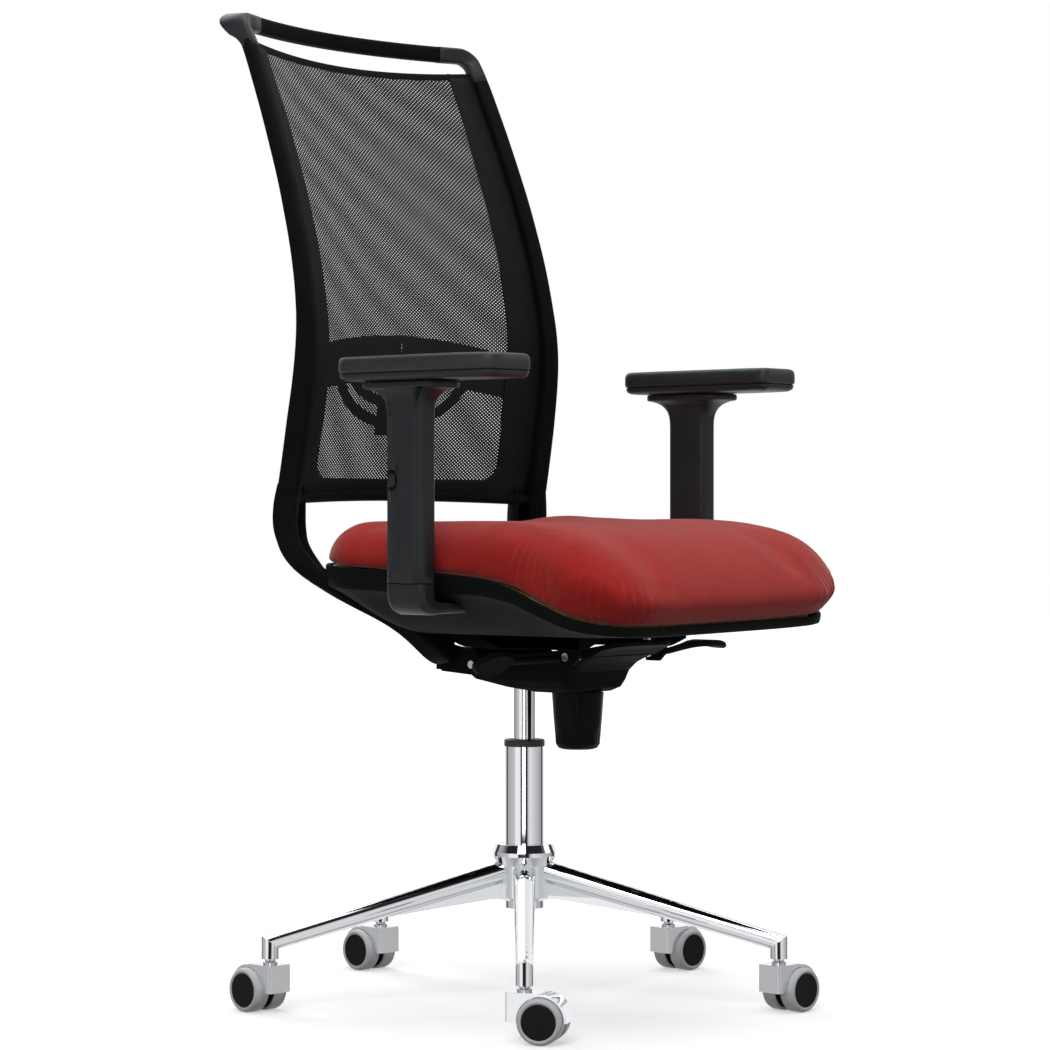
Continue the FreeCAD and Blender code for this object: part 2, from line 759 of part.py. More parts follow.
def curved_panel(z_low, z_high, front, thickness, half):
    # a panel that follows the back, with level ends
    levels = 10
    wires = []
    for k in range(levels + 1):
        z = z_low + (z_high - z_low) * k / levels
        near = []
        away = []
        for m in range(9):
            x = (-1 + m / 4) * half
            y = back_y(x, z) + front
            near.append((x, y, z))
            away.append((x, y + thickness, z))
        away.reverse()
        wires.append(Part.Wire([smooth_line(near), Part.makeLine(V(*near[-1]), V(*away[0])),
                                smooth_line(away), Part.makeLine(V(*away[-1]), V(*near[0]))]))
    return loft(wires)


def front_region(half, top, bottom):
    # a block through the back; top and bottom are heights at the middle and at the ends
    upper = [(-half, 0, top[1]), (0, 0, top[0]), (half, 0, top[1])]
    lower = [(half, 0, bottom[1]), (0, 0, bottom[0]), (-half, 0, bottom[1])]
    edges = [arch(upper), Part.makeLine(V(*upper[2]), V(*lower[0])), arch(lower),
             Part.makeLine(V(*lower[2]), V(*upper[0]))]
    return Part.Face(Part.Wire(edges)).extrude(V(0, 600, 0))


def arch(points):
    a, b, c = [V(*p) for p in points]
    if abs(b.z - a.z) < 1e-6:
        return Part.makeLine(a, c)
    return Part.Arc(a, b, c).toShape()


def make_back_frame():
    heights = [frame_bottom_z, 660, 720, 780, 840, 900, 960, 1040, 1120, 1190, frame_top_z]
    points = []
    sections = []
    for z in heights:
        points.append((half_width(z) - upright_width / 2, side_y(z), z))
        sections.append((upright_width, upright_depth(z), 5))
    upright = tube_along(points, sections)
    bar_points = []
    for m in range(9):
        x = (-1 + m / 4) * (back_half_width_low - upright_width / 2)
        bar_points.append((x, back_y(x, frame_bottom_z + 14), frame_bottom_z + 14))
    bar = tube_along_level(bar_points, lower_bar_height, lower_bar_depth)
    return fuse([upright, mirrored(upright), bar])


def tube_along_level(points, height, depth):
    # a level bar with a rounded section, lofted from side to side
    wires = []
    for i, point in enumerate(points):
        before = V(*points[max(i - 1, 0)])
        after = V(*points[min(i + 1, len(points) - 1)])
        along = (after - before).normalize()
        across = V(0, 0, 1).cross(along)
        wire = rounded_rect(-depth / 2, depth / 2, -height / 2, height / 2, 4, 0)
        matrix = FreeCAD.Matrix(across.x, 0, along.x, point[0],
                                across.y, 0, along.y, point[1],
                                across.z, 1, along.z, point[2], 0, 0, 0, 1)
        wires.append(wire.transformGeometry(matrix))
    return loft(wires)


def make_back_handle():
    # crossbar over the opening at the top of the back
    z = frame_top_z + handle_height / 2 - 6
    half = half_width(z) - upright_width / 2
    points = []
    for m in range(9):
        x = (-1 + m / 4) * half
        points.append((x, back_y(x, z) + 3, z))
    bar = tube_along_level(points, handle_height, handle_depth)
    return bar.cut(make_back_frame_envelope())


def make_back_frame_envelope():
    # the uprights' heads, which the handle butts against
    z = frame_top_z
    heads = []
    for side in (-1, 1):
        x = side * (half_width(z) - upright_width / 2)
        heads.append(box(x - upright_width, x + upright_width, side_y(z) - 60, side_y(z) + 60, z - 80, z))
    return fuse(heads)


def make_back_mesh():
    half = half_width(900) - upright_width + 10
    panel = curved_panel(mesh_bottom_z - 2, mesh_top_z + 2, -mesh_thickness / 2, mesh_thickness, half + 4)
    top = (mesh_top_z - mesh_hem_dip, mesh_top_z)
    return panel.common(front_region(half, top, (mesh_bottom_z, mesh_bottom_z)))


def lumbar_front():
    return mesh_thickness / 2 + lumbar_gap


def make_lumbar_pad():
    high = lumbar_z + lumbar_height / 2
    low = lumbar_z - lumbar_height / 2
    panel = curved_panel(low - 24, high + 2, lumbar_front(), lumbar_thickness, lumbar_half_width + 2)
    pad = panel.common(front_region(lumbar_half_width, (high, high - 26), (low, low - 20)))
    return pad.cut(box(-5, 5, 100, 300, lumbar_z + 10, lumbar_z + 20))


def make_lumbar_bracket():
    # hanging U with its finger tab, curved like the pad it is fixed behind
    half = lumbar_bracket_half_width
    drop = lumbar_height / 2 + lumbar_bracket_drop
    top = lumbar_z + 6
    front = lumbar_front() + lumbar_thickness
    sheet = curved_panel(lumbar_z - drop - 11, top, front, 5, half)
    outline = half_oval(half, drop, lumbar_z).cut(half_oval(half - 13, drop - 13, lumbar_z))
    inner = half_oval(half - 27, drop - 27, lumbar_z).cut(half_oval(half - 40, drop - 40, lumbar_z))
    tab = box(-lumbar_tab_half_width, lumbar_tab_half_width, 0, 400, lumbar_z - drop - 10, top)
    rim = box(-half, half, 0, 400, lumbar_z - 6, top)
    return sheet.common(fuse([outline, inner, tab, rim]))


def half_oval(half, drop, top):
    # lower half of an oval, seen from the front, right through the back
    ends = [V(half, 0, top), V(0, 0, top - drop), V(-half, 0, top)]
    curve = Part.BSplineCurve()
    shoulder = math.sqrt(0.5)
    curve.interpolate([ends[0], V(half * shoulder, 0, top - drop * shoulder), ends[1],
                       V(-half * shoulder, 0, top - drop * shoulder), ends[2]])
    wire = Part.Wire([curve.toShape(), Part.makeLine(ends[2], ends[0])])
    return Part.Face(wire).extrude(V(0, 400, 0))


def yoke_arm(grow):
    # one J-shaped arm, from the upright round and in under the seat
    x = half_width(frame_bottom_z) - upright_width / 2
    points = [(x, side_y(frame_bottom_z), frame_bottom_z), (x, 185, 592), (x - 2, 176, 568),
              (x - 6, 161, 552), (x - 25, 141, 532), (x - 53, 113, 510), (x - 90, 88, 488),
              (x - 120, 72, 468), (yoke_cheek_x() + 2, 68, 447)]
    sizes = [(upright_width, 26), (21, 25), (22, 22), (23, 20), (25, 18), (28, 18), (30, 20), (34, 26),
             (44, 26)]
    return tube_along(points, [(w + 2 * grow, d + 2 * grow, 5 + grow) for w, d in sizes])


def yoke_cheek_x():
    return housing_width / 2 + body_gap + yoke_cheek_thickness / 2


def make_back_yoke():
    # two arms joined by a beam, with cheeks that hang on the tilt pivot
    cheek_x = yoke_cheek_x()
    arm = yoke_arm(0)
    cheek = face_from([(0, back_pivot_y - 14, back_pivot_z - 6), (0, back_pivot_y - 4, back_pivot_z - 14),
                       (0, 74, 417), (0, 84, 424), (0, 84, 446), (0, 66, 452), (0, back_pivot_y, 443),
                       (0, back_pivot_y - 14, back_pivot_z + 6)])
    cheek = cheek.extrude(V(yoke_cheek_thickness, 0, 0))
    cheek.translate(V(housing_width / 2 + body_gap, 0, 0))
    side = fuse([arm, cheek])
    beam = box(-cheek_x - 4, cheek_x + 4, housing_rear_y + 8, 84, 419, 446)
    yoke = fuse([side, mirrored(side), beam])
    pin = pin_diameter / 2 + running_gap
    return yoke.cut(rod(pin, (-200, back_pivot_y, back_pivot_z), (200, back_pivot_y, back_pivot_z)))


# ---- arms, drawn on the +X side ----
def stadium(grow, z0, z1):
    half_x = arm_thickness / 2 + grow
    half_y = arm_depth / 2 + grow
    corner = arm_corner + min(grow, 0)
    return prism(arm_x - half_x, arm_x + half_x, arm_y - half_y, arm_y + half_y, corner, z0, z1)


def make_arm_bracket():
    outer = arm_x + arm_thickness / 2
    inner = arm_x - arm_thickness / 2
    low = elbow_bottom_z
    top = sleeve_bottom_z - body_gap
    bar = low + arm_bar_thickness
    radius = 26.0
    turn = math.sqrt(0.5) * radius
    corner = V(outer - radius, 0, low + radius)
    arc = Part.Arc(V(outer, 0, corner.z), V(corner.x + turn, 0, corner.z - turn),
                   V(corner.x, 0, low)).toShape()
    path = [arc]
    points = [V(corner.x, 0, low), V(arm_bar_inner_x, 0, low), V(arm_bar_inner_x, 0, bar),
              V(inner - 10, 0, bar), V(inner, 0, bar + 10), V(inner, 0, top), V(outer, 0, top),
              V(outer, 0, corner.z)]
    for a, b in zip(points, points[1:]):
        path.append(Part.makeLine(a, b))
    block = Part.Face(Part.Wire(path)).extrude(V(0, arm_depth, 0))
    block.translate(V(0, arm_y - arm_depth / 2, 0))
    plan_shape = prism(arm_bar_inner_x - 20, outer, arm_y - arm_depth / 2, arm_y + arm_depth / 2, arm_corner,
                       low - 1, top + 1)
    bracket = block.common(plan_shape)
    return bracket.cut(post_solid(0, low + 6))


def post_solid(grow, bottom):
    half_x = post_thickness / 2 + grow
    half_y = post_depth / 2 + grow
    return prism(arm_x - half_x, arm_x + half_x, arm_y - half_y, arm_y + half_y, 3, bottom, post_top_z)


def make_arm_post():
    # flat steel bar that the sleeve slides on
    post = post_solid(0, elbow_bottom_z + 6)
    for k in range(6):
        z = button_z - 0.2 - k * (arm_lift_travel / 5)
        notch = rod(3.2, (arm_x + post_thickness / 2 - 3.5, button_y, z), (arm_x + 40, button_y, z))
        post = post.cut(notch)
    return post


def make_arm_sleeve():
    straight = stadium(0, sleeve_bottom_z, sleeve_top_z - 26)
    half_x = arm_thickness / 2
    half_y = arm_depth / 2
    wires = []
    for z, grow_x, grow_y, radius in ((sleeve_top_z - 26, 0, 0, arm_corner),
                                      (sleeve_top_z - 14, 2, 5, arm_corner + 1),
                                      (sleeve_top_z - 5, 7, 15, arm_corner + 3),
                                      (sleeve_top_z, 13, 27, arm_corner + 6)):
        wires.append(rounded_rect(arm_x - half_x - grow_x, arm_x + half_x + grow_x, arm_y - half_y - grow_y,
                                  arm_y + half_y + grow_y, radius, z))
    flare = loft(wires, True)
    plate = prism(arm_x - arm_plate_width / 2, arm_x + arm_plate_width / 2, arm_y - arm_plate_length / 2,
                  arm_y + arm_plate_length / 2, 16, sleeve_top_z, arm_plate_top_z)
    sleeve = fuse([straight, flare, plate])
    slide = 0.5
    cavity = prism(arm_x - post_thickness / 2 - slide, arm_x + post_thickness / 2 + slide,
                   arm_y - post_depth / 2 - slide, arm_y + post_depth / 2 + slide, 3.5,
                   sleeve_bottom_z - 1, post_top_z + 8)
    sleeve = sleeve.cut(cavity)
    return sleeve.cut(button_hole(body_gap))


def button_hole(grow):
    half_y = button_depth / 2 + grow
    half_z = button_width / 2 + grow
    hole = prism(-half_z, half_z, -half_y, half_y, 3.5, 0, 30)
    hole.rotate(V(0, 0, 0), V(0, 1, 0), 90)
    hole.translate(V(arm_x + post_thickness / 2 - 1, button_y, button_z))
    return hole


def make_arm_button():
    outer = arm_x + arm_thickness / 2
    button = button_hole(0).common(box(arm_x + post_thickness / 2 + button_travel + 0.9, outer - 0.4,
                                       button_y - 30, button_y + 30, button_z - 30, button_z + 30))
    return button


def pad_outline(grow, z):
    # plan of the pad: a long rounded bar whose front end turns inwards
    rear = pad_centre_y + pad_length / 2 + grow
    front = pad_centre_y - pad_length / 2 - grow
    kink_y = front + pad_length * pad_kink_share
    half = pad_width / 2 + grow
    points = [(arm_x - half, rear - 20), (arm_x - half, kink_y), (arm_x - half - pad_kink * 0.5, front + 20),
              (arm_x - half - pad_kink * 0.5 + 16, front), (arm_x + half - pad_kink - 20, front),
              (arm_x + half - pad_kink, front + 20), (arm_x + half, kink_y), (arm_x + half, rear - 20),
              (arm_x + half - 18, rear), (arm_x - half + 18, rear)]
    return Part.makePolygon([V(x, y, z) for x, y in points + [points[0]]])


def make_pad_base():
    z0 = arm_plate_top_z + body_gap
    z1 = z0 + pad_base_height
    return loft([pad_outline(-9, z0), pad_outline(-2.5, z0 + 4), pad_outline(-2.5, z1)], True)


def make_arm_pad():
    z0 = arm_plate_top_z + body_gap + pad_base_height
    z1 = z0 + pad_height
    return loft([pad_outline(-1.5, z0), pad_outline(0, z0 + 3), pad_outline(0, z1 - 6), pad_outline(-2, z1 - 1.5),
                 pad_outline(-5, z1)], True)


# ---- writing the pieces ----
def save(name, shapes):
    if not isinstance(shapes, list):
        shapes = [shapes]
    solids = []
    for shape in shapes:
        solids.extend(shape.Solids)
    whole = solids[0] if len(solids) == 1 else Part.makeCompound(solids)
    whole.exportStep("parts/" + name + ".step")


def main():
    os.makedirs("parts", exist_ok=True)
    save("star_base", make_star_base())
    save("lift_tube", make_lift_tube())
    save("guide_bush", make_guide_bush())
    save("thrust_bearing", make_thrust_bearing())
    save("lift_clip", make_lift_clip())
    save("piston_rod", make_piston_rod())
    save("gas_cylinder", make_gas_cylinder())
    for leg in range(leg_count):
        number = str(leg + 1)
        save("caster_hood_" + number, caster_at(make_hood(), leg))
        save("caster_pins_" + number, [caster_at(p, leg) for p in make_caster_pins()])
        save("wheel_discs_" + number, [caster_at(p, leg) for p in make_wheel_discs()])
        save("wheel_treads_" + number, [caster_at(p, leg) for p in make_treads()])
    save("mechanism_housing", make_housing())
    save("front_cover", make_front_cover())
    save("tilt_spring", make_tilt_spring())
    save("pivot_pins", make_pivot_pins())
    save("tension_knob", make_tension_knob())
    save("tension_screw", make_tension_screw())
    save("height_lever", make_lever(height_lever_y, height_lever_reach, -1))
    save("tilt_lever", make_lever(tilt_lever_y, tilt_lever_reach, 1))
    save("seat_carrier", make_seat_carrier())
    save("seat_screws", make_seat_screws())
    save("seat_shell", make_seat_shell())
    save("seat_pan", make_seat_pan())
    save("seat_cushion", make_cushion())
    save("back_frame", make_back_frame())
    save("back_handle", make_back_handle())
    save("back_mesh", make_back_mesh())
    save("back_yoke", make_back_yoke())
    save("lumbar_pad", make_lumbar_pad())
    save("lumbar_bracket", make_lumbar_bracket())
    arm_parts = (("arm_bracket", make_arm_bracket), ("arm_post", make_arm_post),
                 ("arm_sleeve", make_arm_sleeve), ("arm_button", make_arm_button),
                 ("arm_pad_base", make_pad_base), ("arm_pad", make_arm_pad))
    for name, make in arm_parts:
        save(name + "_left", make())
        save(name + "_right", mirrored(make()))


main()
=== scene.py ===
import json
import math

import bmesh
import bpy
import numpy as np
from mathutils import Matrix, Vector


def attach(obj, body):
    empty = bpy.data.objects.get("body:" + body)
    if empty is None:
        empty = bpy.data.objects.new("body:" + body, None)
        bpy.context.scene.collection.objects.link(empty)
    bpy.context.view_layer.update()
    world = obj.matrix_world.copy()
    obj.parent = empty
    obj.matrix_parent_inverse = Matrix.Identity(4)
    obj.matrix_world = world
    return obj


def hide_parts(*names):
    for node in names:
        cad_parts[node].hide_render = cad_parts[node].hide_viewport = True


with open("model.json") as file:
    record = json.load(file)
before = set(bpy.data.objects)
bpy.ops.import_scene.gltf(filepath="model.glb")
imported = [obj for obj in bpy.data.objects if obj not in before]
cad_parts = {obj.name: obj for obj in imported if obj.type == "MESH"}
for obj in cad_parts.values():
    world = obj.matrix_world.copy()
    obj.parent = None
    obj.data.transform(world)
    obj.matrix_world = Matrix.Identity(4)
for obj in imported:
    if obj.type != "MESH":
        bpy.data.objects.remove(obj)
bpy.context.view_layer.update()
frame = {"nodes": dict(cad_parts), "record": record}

nodes = frame["nodes"]
mm = 0.001

cameraSetup = {"distance": 4.10, "height": 0.614, "turn": 50.0, "lens": 111.05,
               "shiftX": 0.0005, "shiftY": -0.0095}


def hexColour(code):
    # sRGB hex to linear light
    channels = [int(code[i:i + 2], 16) / 255 for i in (1, 3, 5)]
    linear = [c / 12.92 if c <= 0.04045 else ((c + 0.055) / 1.055) ** 2.4 for c in channels]
    return (*linear, 1.0)


def addNode(tree, kind, settings=None, links=None):
    # a node with its values and what feeds it
    node = tree.nodes.new("ShaderNode" + kind)
    for key, value in (settings or {}).items():
        if isinstance(key, int) or key in node.inputs:
            node.inputs[key].default_value = value
        else:
            setattr(node, key, value)
    for key, source in (links or {}).items():
        tree.links.new(source, node.inputs[key])
    return node


def makeCamera():
    turn = math.radians(cameraSetup["turn"])
    data = bpy.data.cameras.new("camera")
    data.lens = cameraSetup["lens"]
    data.sensor_width = 36.0
    data.shift_x = cameraSetup["shiftX"]
    data.shift_y = cameraSetup["shiftY"]
    data.clip_end = 50.0
    camera = bpy.data.objects.new("camera", data)
    reach = cameraSetup["distance"]
    camera.location = (-reach * math.sin(turn), -reach * math.cos(turn), cameraSetup["height"])
    camera.rotation_euler = (math.pi / 2, 0, -turn)
    bpy.context.scene.collection.objects.link(camera)
    bpy.context.scene.camera = camera


lightSetup = {
    "softboxes": [   # place, aimed at, size in metres, watts
        ((-3.0, -1.6, 3.2), (0.0, 0.0, 0.5), 2.0, 56),      # key, from the front left
        ((2.9, -2.6, 2.4), (0.0, 0.0, 0.6), 1.6, 14),
        ((0.9, 3.2, 3.0), (0.0, 0.1, 0.8), 2.2, 34),
        ((0.2, -0.1, 3.9), (0.0, 0.0, 0.5), 2.4, 56),
        ((-3.0, -2.2, 0.45), (0.0, -0.1, 0.5), 1.2, 12),
    ],
    "ambient": 0.20,
    "fill": (0.97, 0.98, 1, 1),
    "ceiling": (0.9, 0.9, 0.9, 1),
    "floorGlow": 0.45,
    "floorFade": (0.60, 1.5),
    "floorBounce": 0.12,
    "floorReach": 14.0,
    "floorPaint": (0.85, 0.85, 0.86, 1),
    # how bright the room is to a mirror, by degrees round from the main view and by degrees up
    "roundRoom": [(-180, 1.0), (-136, 1.0), (-130, 0.05), (-118, 0.05), (-112, 0.42), (-60, 0.62), (-52, 1.0),
                  (-26, 1.0), (-20, 0.02), (14, 0.02), (24, 0.72), (34, 0.85), (70, 0.60), (112, 0.38),
                  (118, 0.05), (130, 0.05), (136, 1.0), (180, 1.0)],
    "upRoom": [(-90, 0.30), (-62, 0.42), (-45, 0.80), (-12, 0.68), (0, 0.60), (18, 0.55), (24, 0.02),
               (60, 0.02), (66, 1.0), (90, 1.0)],
    "flagTurn": 112,     # the overhead dark flag reaches this far round to either side
}


def levelRamp(tree, factor, stops, span):
    # grey levels by angle; span is (lowest, highest) in degrees
    ramp = addNode(tree, "ValToRGB", links={"Fac": factor})
    bands = ramp.color_ramp.elements
    while len(bands) < len(stops):
        bands.new(0.5)
    for band, (angle, level) in zip(bands, stops):
        band.position = (angle - span[0]) / (span[1] - span[0])
        band.color = (level, level, level, 1)
    return ramp.outputs["Color"]


def makeWorld():
    world = bpy.data.worlds.new("studio")
    bpy.context.scene.world = world
    world.use_nodes = True
    tree = world.node_tree
    tree.nodes.clear()
    way = addNode(tree, "TexCoord").outputs["Generated"]
    # turned so that its +X is the side the main view looks from
    facing = math.radians(90 + cameraSetup["turn"])
    turned = addNode(tree, "VectorRotate", {"rotation_type": "Z_AXIS", "Angle": facing}, {"Vector": way})
    axes = addNode(tree, "SeparateXYZ", links={0: turned.outputs[0]})
    around = addNode(tree, "Math", {"operation": "ARCTAN2"}, {0: axes.outputs["Y"], 1: axes.outputs["X"]})
    up = addNode(tree, "Math", {"operation": "ARCSINE"}, {0: axes.outputs["Z"]})
    aroundShare = addNode(tree, "MapRange", {"From Min": -math.pi, "From Max": math.pi},
                          {0: around.outputs[0]})
    upShare = addNode(tree, "MapRange", {"From Min": -math.pi / 2, "From Max": math.pi / 2},
                      {0: up.outputs[0]})
    sides = levelRamp(tree, aroundShare.outputs[0], lightSetup["roundRoom"], (-180, 180))
    heights = levelRamp(tree, upShare.outputs[0], lightSetup["upRoom"], (-90, 90))
    # near level a mirror sees the walls, above and below it the ceiling with its dark flag
    turn = lightSetup["flagTurn"]
    flag = [(-180, 0), (-turn - 6, 0), (-turn, 1), (turn, 1), (turn + 6, 0), (180, 0)]
    near = levelRamp(tree, aroundShare.outputs[0], flag, (-180, 180))
    level = [(-90, 0), (-22, 0), (-14, 1), (22, 1), (30, 0), (90, 0)]
    low = levelRamp(tree, upShare.outputs[0], level, (-90, 90))
    ceiling = lightSetup["ceiling"]
    overhead = addNode(tree, "Mix", {"data_type": "RGBA", 6: ceiling}, {0: near, 7: heights})
    room = addNode(tree, "Mix", {"data_type": "RGBA"}, {0: low, 6: overhead.outputs[2], 7: sides})
    chromeRoom = addNode(tree, "Background", {"Strength": 1.0}, {"Color": room.outputs[2]})
    ambient = addNode(tree, "Background", {"Color": lightSetup["fill"], "Strength": lightSetup["ambient"]})
    white = addNode(tree, "Background", {"Color": (1, 1, 1, 1), "Strength": 1.0})
    path = addNode(tree, "LightPath")
    lit = addNode(tree, "MixShader", links={0: path.outputs["Is Diffuse Ray"], 1: chromeRoom.outputs[0],
                                            2: ambient.outputs[0]})
    seen = addNode(tree, "MixShader", links={0: path.outputs["Is Camera Ray"], 1: lit.outputs[0],
                                             2: white.outputs[0]})
    addNode(tree, "OutputWorld", links={"Surface": seen.outputs[0]})


def makeStage():
    makeWorld()
    for place, aim, size, power in lightSetup["softboxes"]:
        data = bpy.data.lights.new("softbox", "AREA")
        data.shape = "SQUARE"
        data.size = size
        data.energy = power
        lamp = bpy.data.objects.new("softbox", data)
        lamp.location = place
        lamp.rotation_euler = (Vector(aim) - Vector(place)).to_track_quat("-Z", "Y").to_euler()
        bpy.context.scene.collection.objects.link(lamp)
    floorMesh = bpy.data.meshes.new("floor")
    reach = lightSetup["floorReach"]
    floorMesh.from_pydata([(-reach, -reach, 0), (reach, -reach, 0), (reach, reach, 0), (-reach, reach, 0)],
                          [], [(0, 1, 2, 3)])
    floor = bpy.data.objects.new("floor", floorMesh)
    bpy.context.scene.collection.objects.link(floor)
    # it glows, more so away from the chair: painted light that stands in for the lamps' light on the floor,
    # so that only the shadows under the chair show; reflections pass through it to the bright room
    paper = bpy.data.materials.new("white floor with painted glow")
    paper.use_nodes = True
    tree = paper.node_tree
    shader = tree.nodes["Principled BSDF"]
    shader.inputs["Roughness"].default_value = 0.9
    shader.inputs["Specular IOR Level"].default_value = 0.0
    shader.inputs["Emission Color"].default_value = (1, 1, 1, 1)
    path = addNode(tree, "LightPath")
    bounce = lightSetup["floorBounce"]
    place = addNode(tree, "TexCoord").outputs["Object"]
    away = addNode(tree, "VectorMath", {"operation": "LENGTH"}, {0: place}).outputs["Value"]
    near, far = lightSetup["floorFade"]
    glow = addNode(tree, "MapRange", {"From Min": near, "From Max": far,
                                      "To Min": lightSetup["floorGlow"], "To Max": 1.0}, {0: away})
    shown = addNode(tree, "Math", {"operation": "SUBTRACT", 0: 1.0}, {1: path.outputs["Is Diffuse Ray"]})
    strength = addNode(tree, "Math", {"operation": "MULTIPLY"}, {0: glow.outputs[0], 1: shown.outputs[0]})
    tree.links.new(strength.outputs[0], shader.inputs["Emission Strength"])
    paint = addNode(tree, "Mix", {"data_type": "RGBA", 6: lightSetup["floorPaint"],
                                  7: (bounce, bounce, bounce, 1)}, {0: path.outputs["Is Diffuse Ray"]})
    tree.links.new(paint.outputs[2], shader.inputs["Base Color"])
    clear = addNode(tree, "BsdfTransparent")
    mixed = addNode(tree, "MixShader", links={0: path.outputs["Is Glossy Ray"], 1: shader.outputs[0],
                                              2: clear.outputs[0]})
    tree.links.new(mixed.outputs[0], tree.nodes["Material Output"].inputs["Surface"])
    floorMesh.materials.append(paper)
    bpy.context.scene.view_settings.view_transform = "Standard"


def newMaterial(name, colour, roughness, metallic=0.0, ior=1.5):
    # a Principled material, with object coordinates in metres to draw its patterns from
    made = bpy.data.materials.new(name)
    made.use_nodes = True
    tree = made.node_tree
    shader = tree.nodes["Principled BSDF"]
    shader.inputs["Base Color"].default_value = hexColour(colour)
    shader.inputs["Roughness"].default_value = roughness
    shader.inputs["Metallic"].default_value = metallic
    if metallic == 0.0:
        shader.inputs["IOR"].default_value = ior
    place = addNode(tree, "TexCoord").outputs["Object"]
    return made, tree, shader, place


def ripples(sizeInMm):
    # wave texture scale for bands of that width
    return 1000.0 * math.pi / 10 / sizeInMm


def perMetre(sizeInMm):
    # texture scale for a feature of that size
    return 1000.0 / sizeInMm


def tintBetween(tree, shader, factor, low, high):
    ramp = addNode(tree, "ValToRGB", links={"Fac": factor})
    ramp.color_ramp.elements[0].position = 0.30
    ramp.color_ramp.elements[1].position = 0.72
    ramp.color_ramp.elements[0].color = hexColour(low)
    ramp.color_ramp.elements[1].color = hexColour(high)
    tree.links.new(ramp.outputs["Color"], shader.inputs["Base Color"])


def bumpFrom(tree, shader, height, depthMm, edge=0.0):
    # relief from a pattern, over edges rounded by that many millimetres
    links = {"Height": height}
    if edge:
        links["Normal"] = addNode(tree, "Bevel", {"Radius": edge * mm, "samples": 4}).outputs[0]
    bump = addNode(tree, "Bump", {"Strength": 1.0, "Distance": depthMm * mm}, links)
    tree.links.new(bump.outputs["Normal"], shader.inputs["Normal"])


plasticLooks = {
    # name: darker and lighter colour, roughness, grain in mm, grain depth in mm, specular level
    "polypropylene, fine spark-eroded grain": ("#0c0d0d", "#131415", 0.70, 1.1, 0.03, 0.07),
    "glass-filled nylon, satin moulded": ("#24262a", "#2d2f33", 0.40, 0.9, 0.02, 0.26),
    "nylon cover, gloss moulded": ("#0c0d0e", "#131415", 0.34, 1.6, 0.02, 0.07),
    "wheel centre, moulded nylon": ("#1f2021", "#272829", 0.42, 1.3, 0.02, 0.07),
}


def mouldedPlastic(name):
    # moulded thermoplastic: a soft broad highlight broken by the mould's fine grain, drawn near 1 mm to show
    low, high, roughness, grain, depth, shine = plasticLooks[name]
    made, tree, shader, place = newMaterial(name, low, roughness, ior=1.49)
    shader.inputs["Specular IOR Level"].default_value = shine
    cloud = addNode(tree, "TexNoise", {"Scale": perMetre(60), "Detail": 3.0}, {"Vector": place})
    tintBetween(tree, shader, cloud.outputs["Fac"], low, high)
    grains = addNode(tree, "TexNoise", {"Scale": perMetre(grain), "Detail": 2.0, "Roughness": 0.6},
                     {"Vector": place})
    worn = addNode(tree, "MapRange", {"From Min": 0.3, "From Max": 0.7, "To Min": roughness - 0.05,
                                      "To Max": roughness + 0.07}, {"Value": grains.outputs["Fac"]})
    tree.links.new(worn.outputs[0], shader.inputs["Roughness"])
    bumpFrom(tree, shader, grains.outputs["Fac"], depth, edge=0.8)
    return made


knobSetup = {"y": -87.0, "flutes": 44, "top": 352.0, "low": 340.0, "depth": 0.5}


def flutedKnob(name):
    # the same nylon with fine upright flutes round its lower half, so the rim catches light in short lines
    made = mouldedPlastic(name)
    tree = made.node_tree
    shader = tree.nodes["Principled BSDF"]
    axes = addNode(tree, "SeparateXYZ", links={0: addNode(tree, "TexCoord").outputs["Object"]})
    forward = addNode(tree, "Math", {"operation": "ADD", 1: -knobSetup["y"] * mm}, {0: axes.outputs["Y"]})
    around = addNode(tree, "Math", {"operation": "ARCTAN2"}, {0: forward.outputs[0], 1: axes.outputs["X"]})
    turned = addNode(tree, "Math", {"operation": "MULTIPLY", 1: knobSetup["flutes"]},
                     {0: around.outputs[0]})
    flute = addNode(tree, "Math", {"operation": "COSINE"}, {0: turned.outputs[0]})
    fade = addNode(tree, "MapRange", {"From Min": knobSetup["top"] * mm, "From Max": knobSetup["low"] * mm},
                   {0: axes.outputs["Z"]})
    height = addNode(tree, "Math", {"operation": "MULTIPLY"}, {0: flute.outputs[0], 1: fade.outputs[0]})
    bumpFrom(tree, shader, height.outputs[0], knobSetup["depth"], edge=0.8)
    return made


def polishedChrome(name, roughness, waveDepth):
    # chromium plate over buffed die casting: mirror with the faint swell that buffing leaves
    made, tree, shader, place = newMaterial(name, "#e9ebee", roughness, metallic=1.0)
    swell = addNode(tree, "TexNoise", {"Scale": perMetre(22), "Detail": 1.0}, {"Vector": place})
    haze = addNode(tree, "TexNoise", {"Scale": perMetre(9), "Detail": 4.0}, {"Vector": place})
    tree.links.new(addNode(tree, "MapRange", {"To Min": roughness * 0.7, "To Max": roughness * 1.6},
                           {"Value": haze.outputs["Fac"]}).outputs[0], shader.inputs["Roughness"])
    bumpFrom(tree, shader, swell.outputs["Fac"], waveDepth, edge=0.7)
    return made


def turnedSteel(name):
    # bright turned steel: fine rings left by the tool, drawn at 0.8 mm so that they show
    made, tree, shader, place = newMaterial(name, "#c9cbcd", 0.22, metallic=1.0)
    rings = addNode(tree, "TexWave", {"Scale": ripples(0.8), "Distortion": 0.4,
                                      "bands_direction": "Z"}, {"Vector": place})
    bumpFrom(tree, shader, rings.outputs["Fac"], 0.004, edge=0.4)
    return made


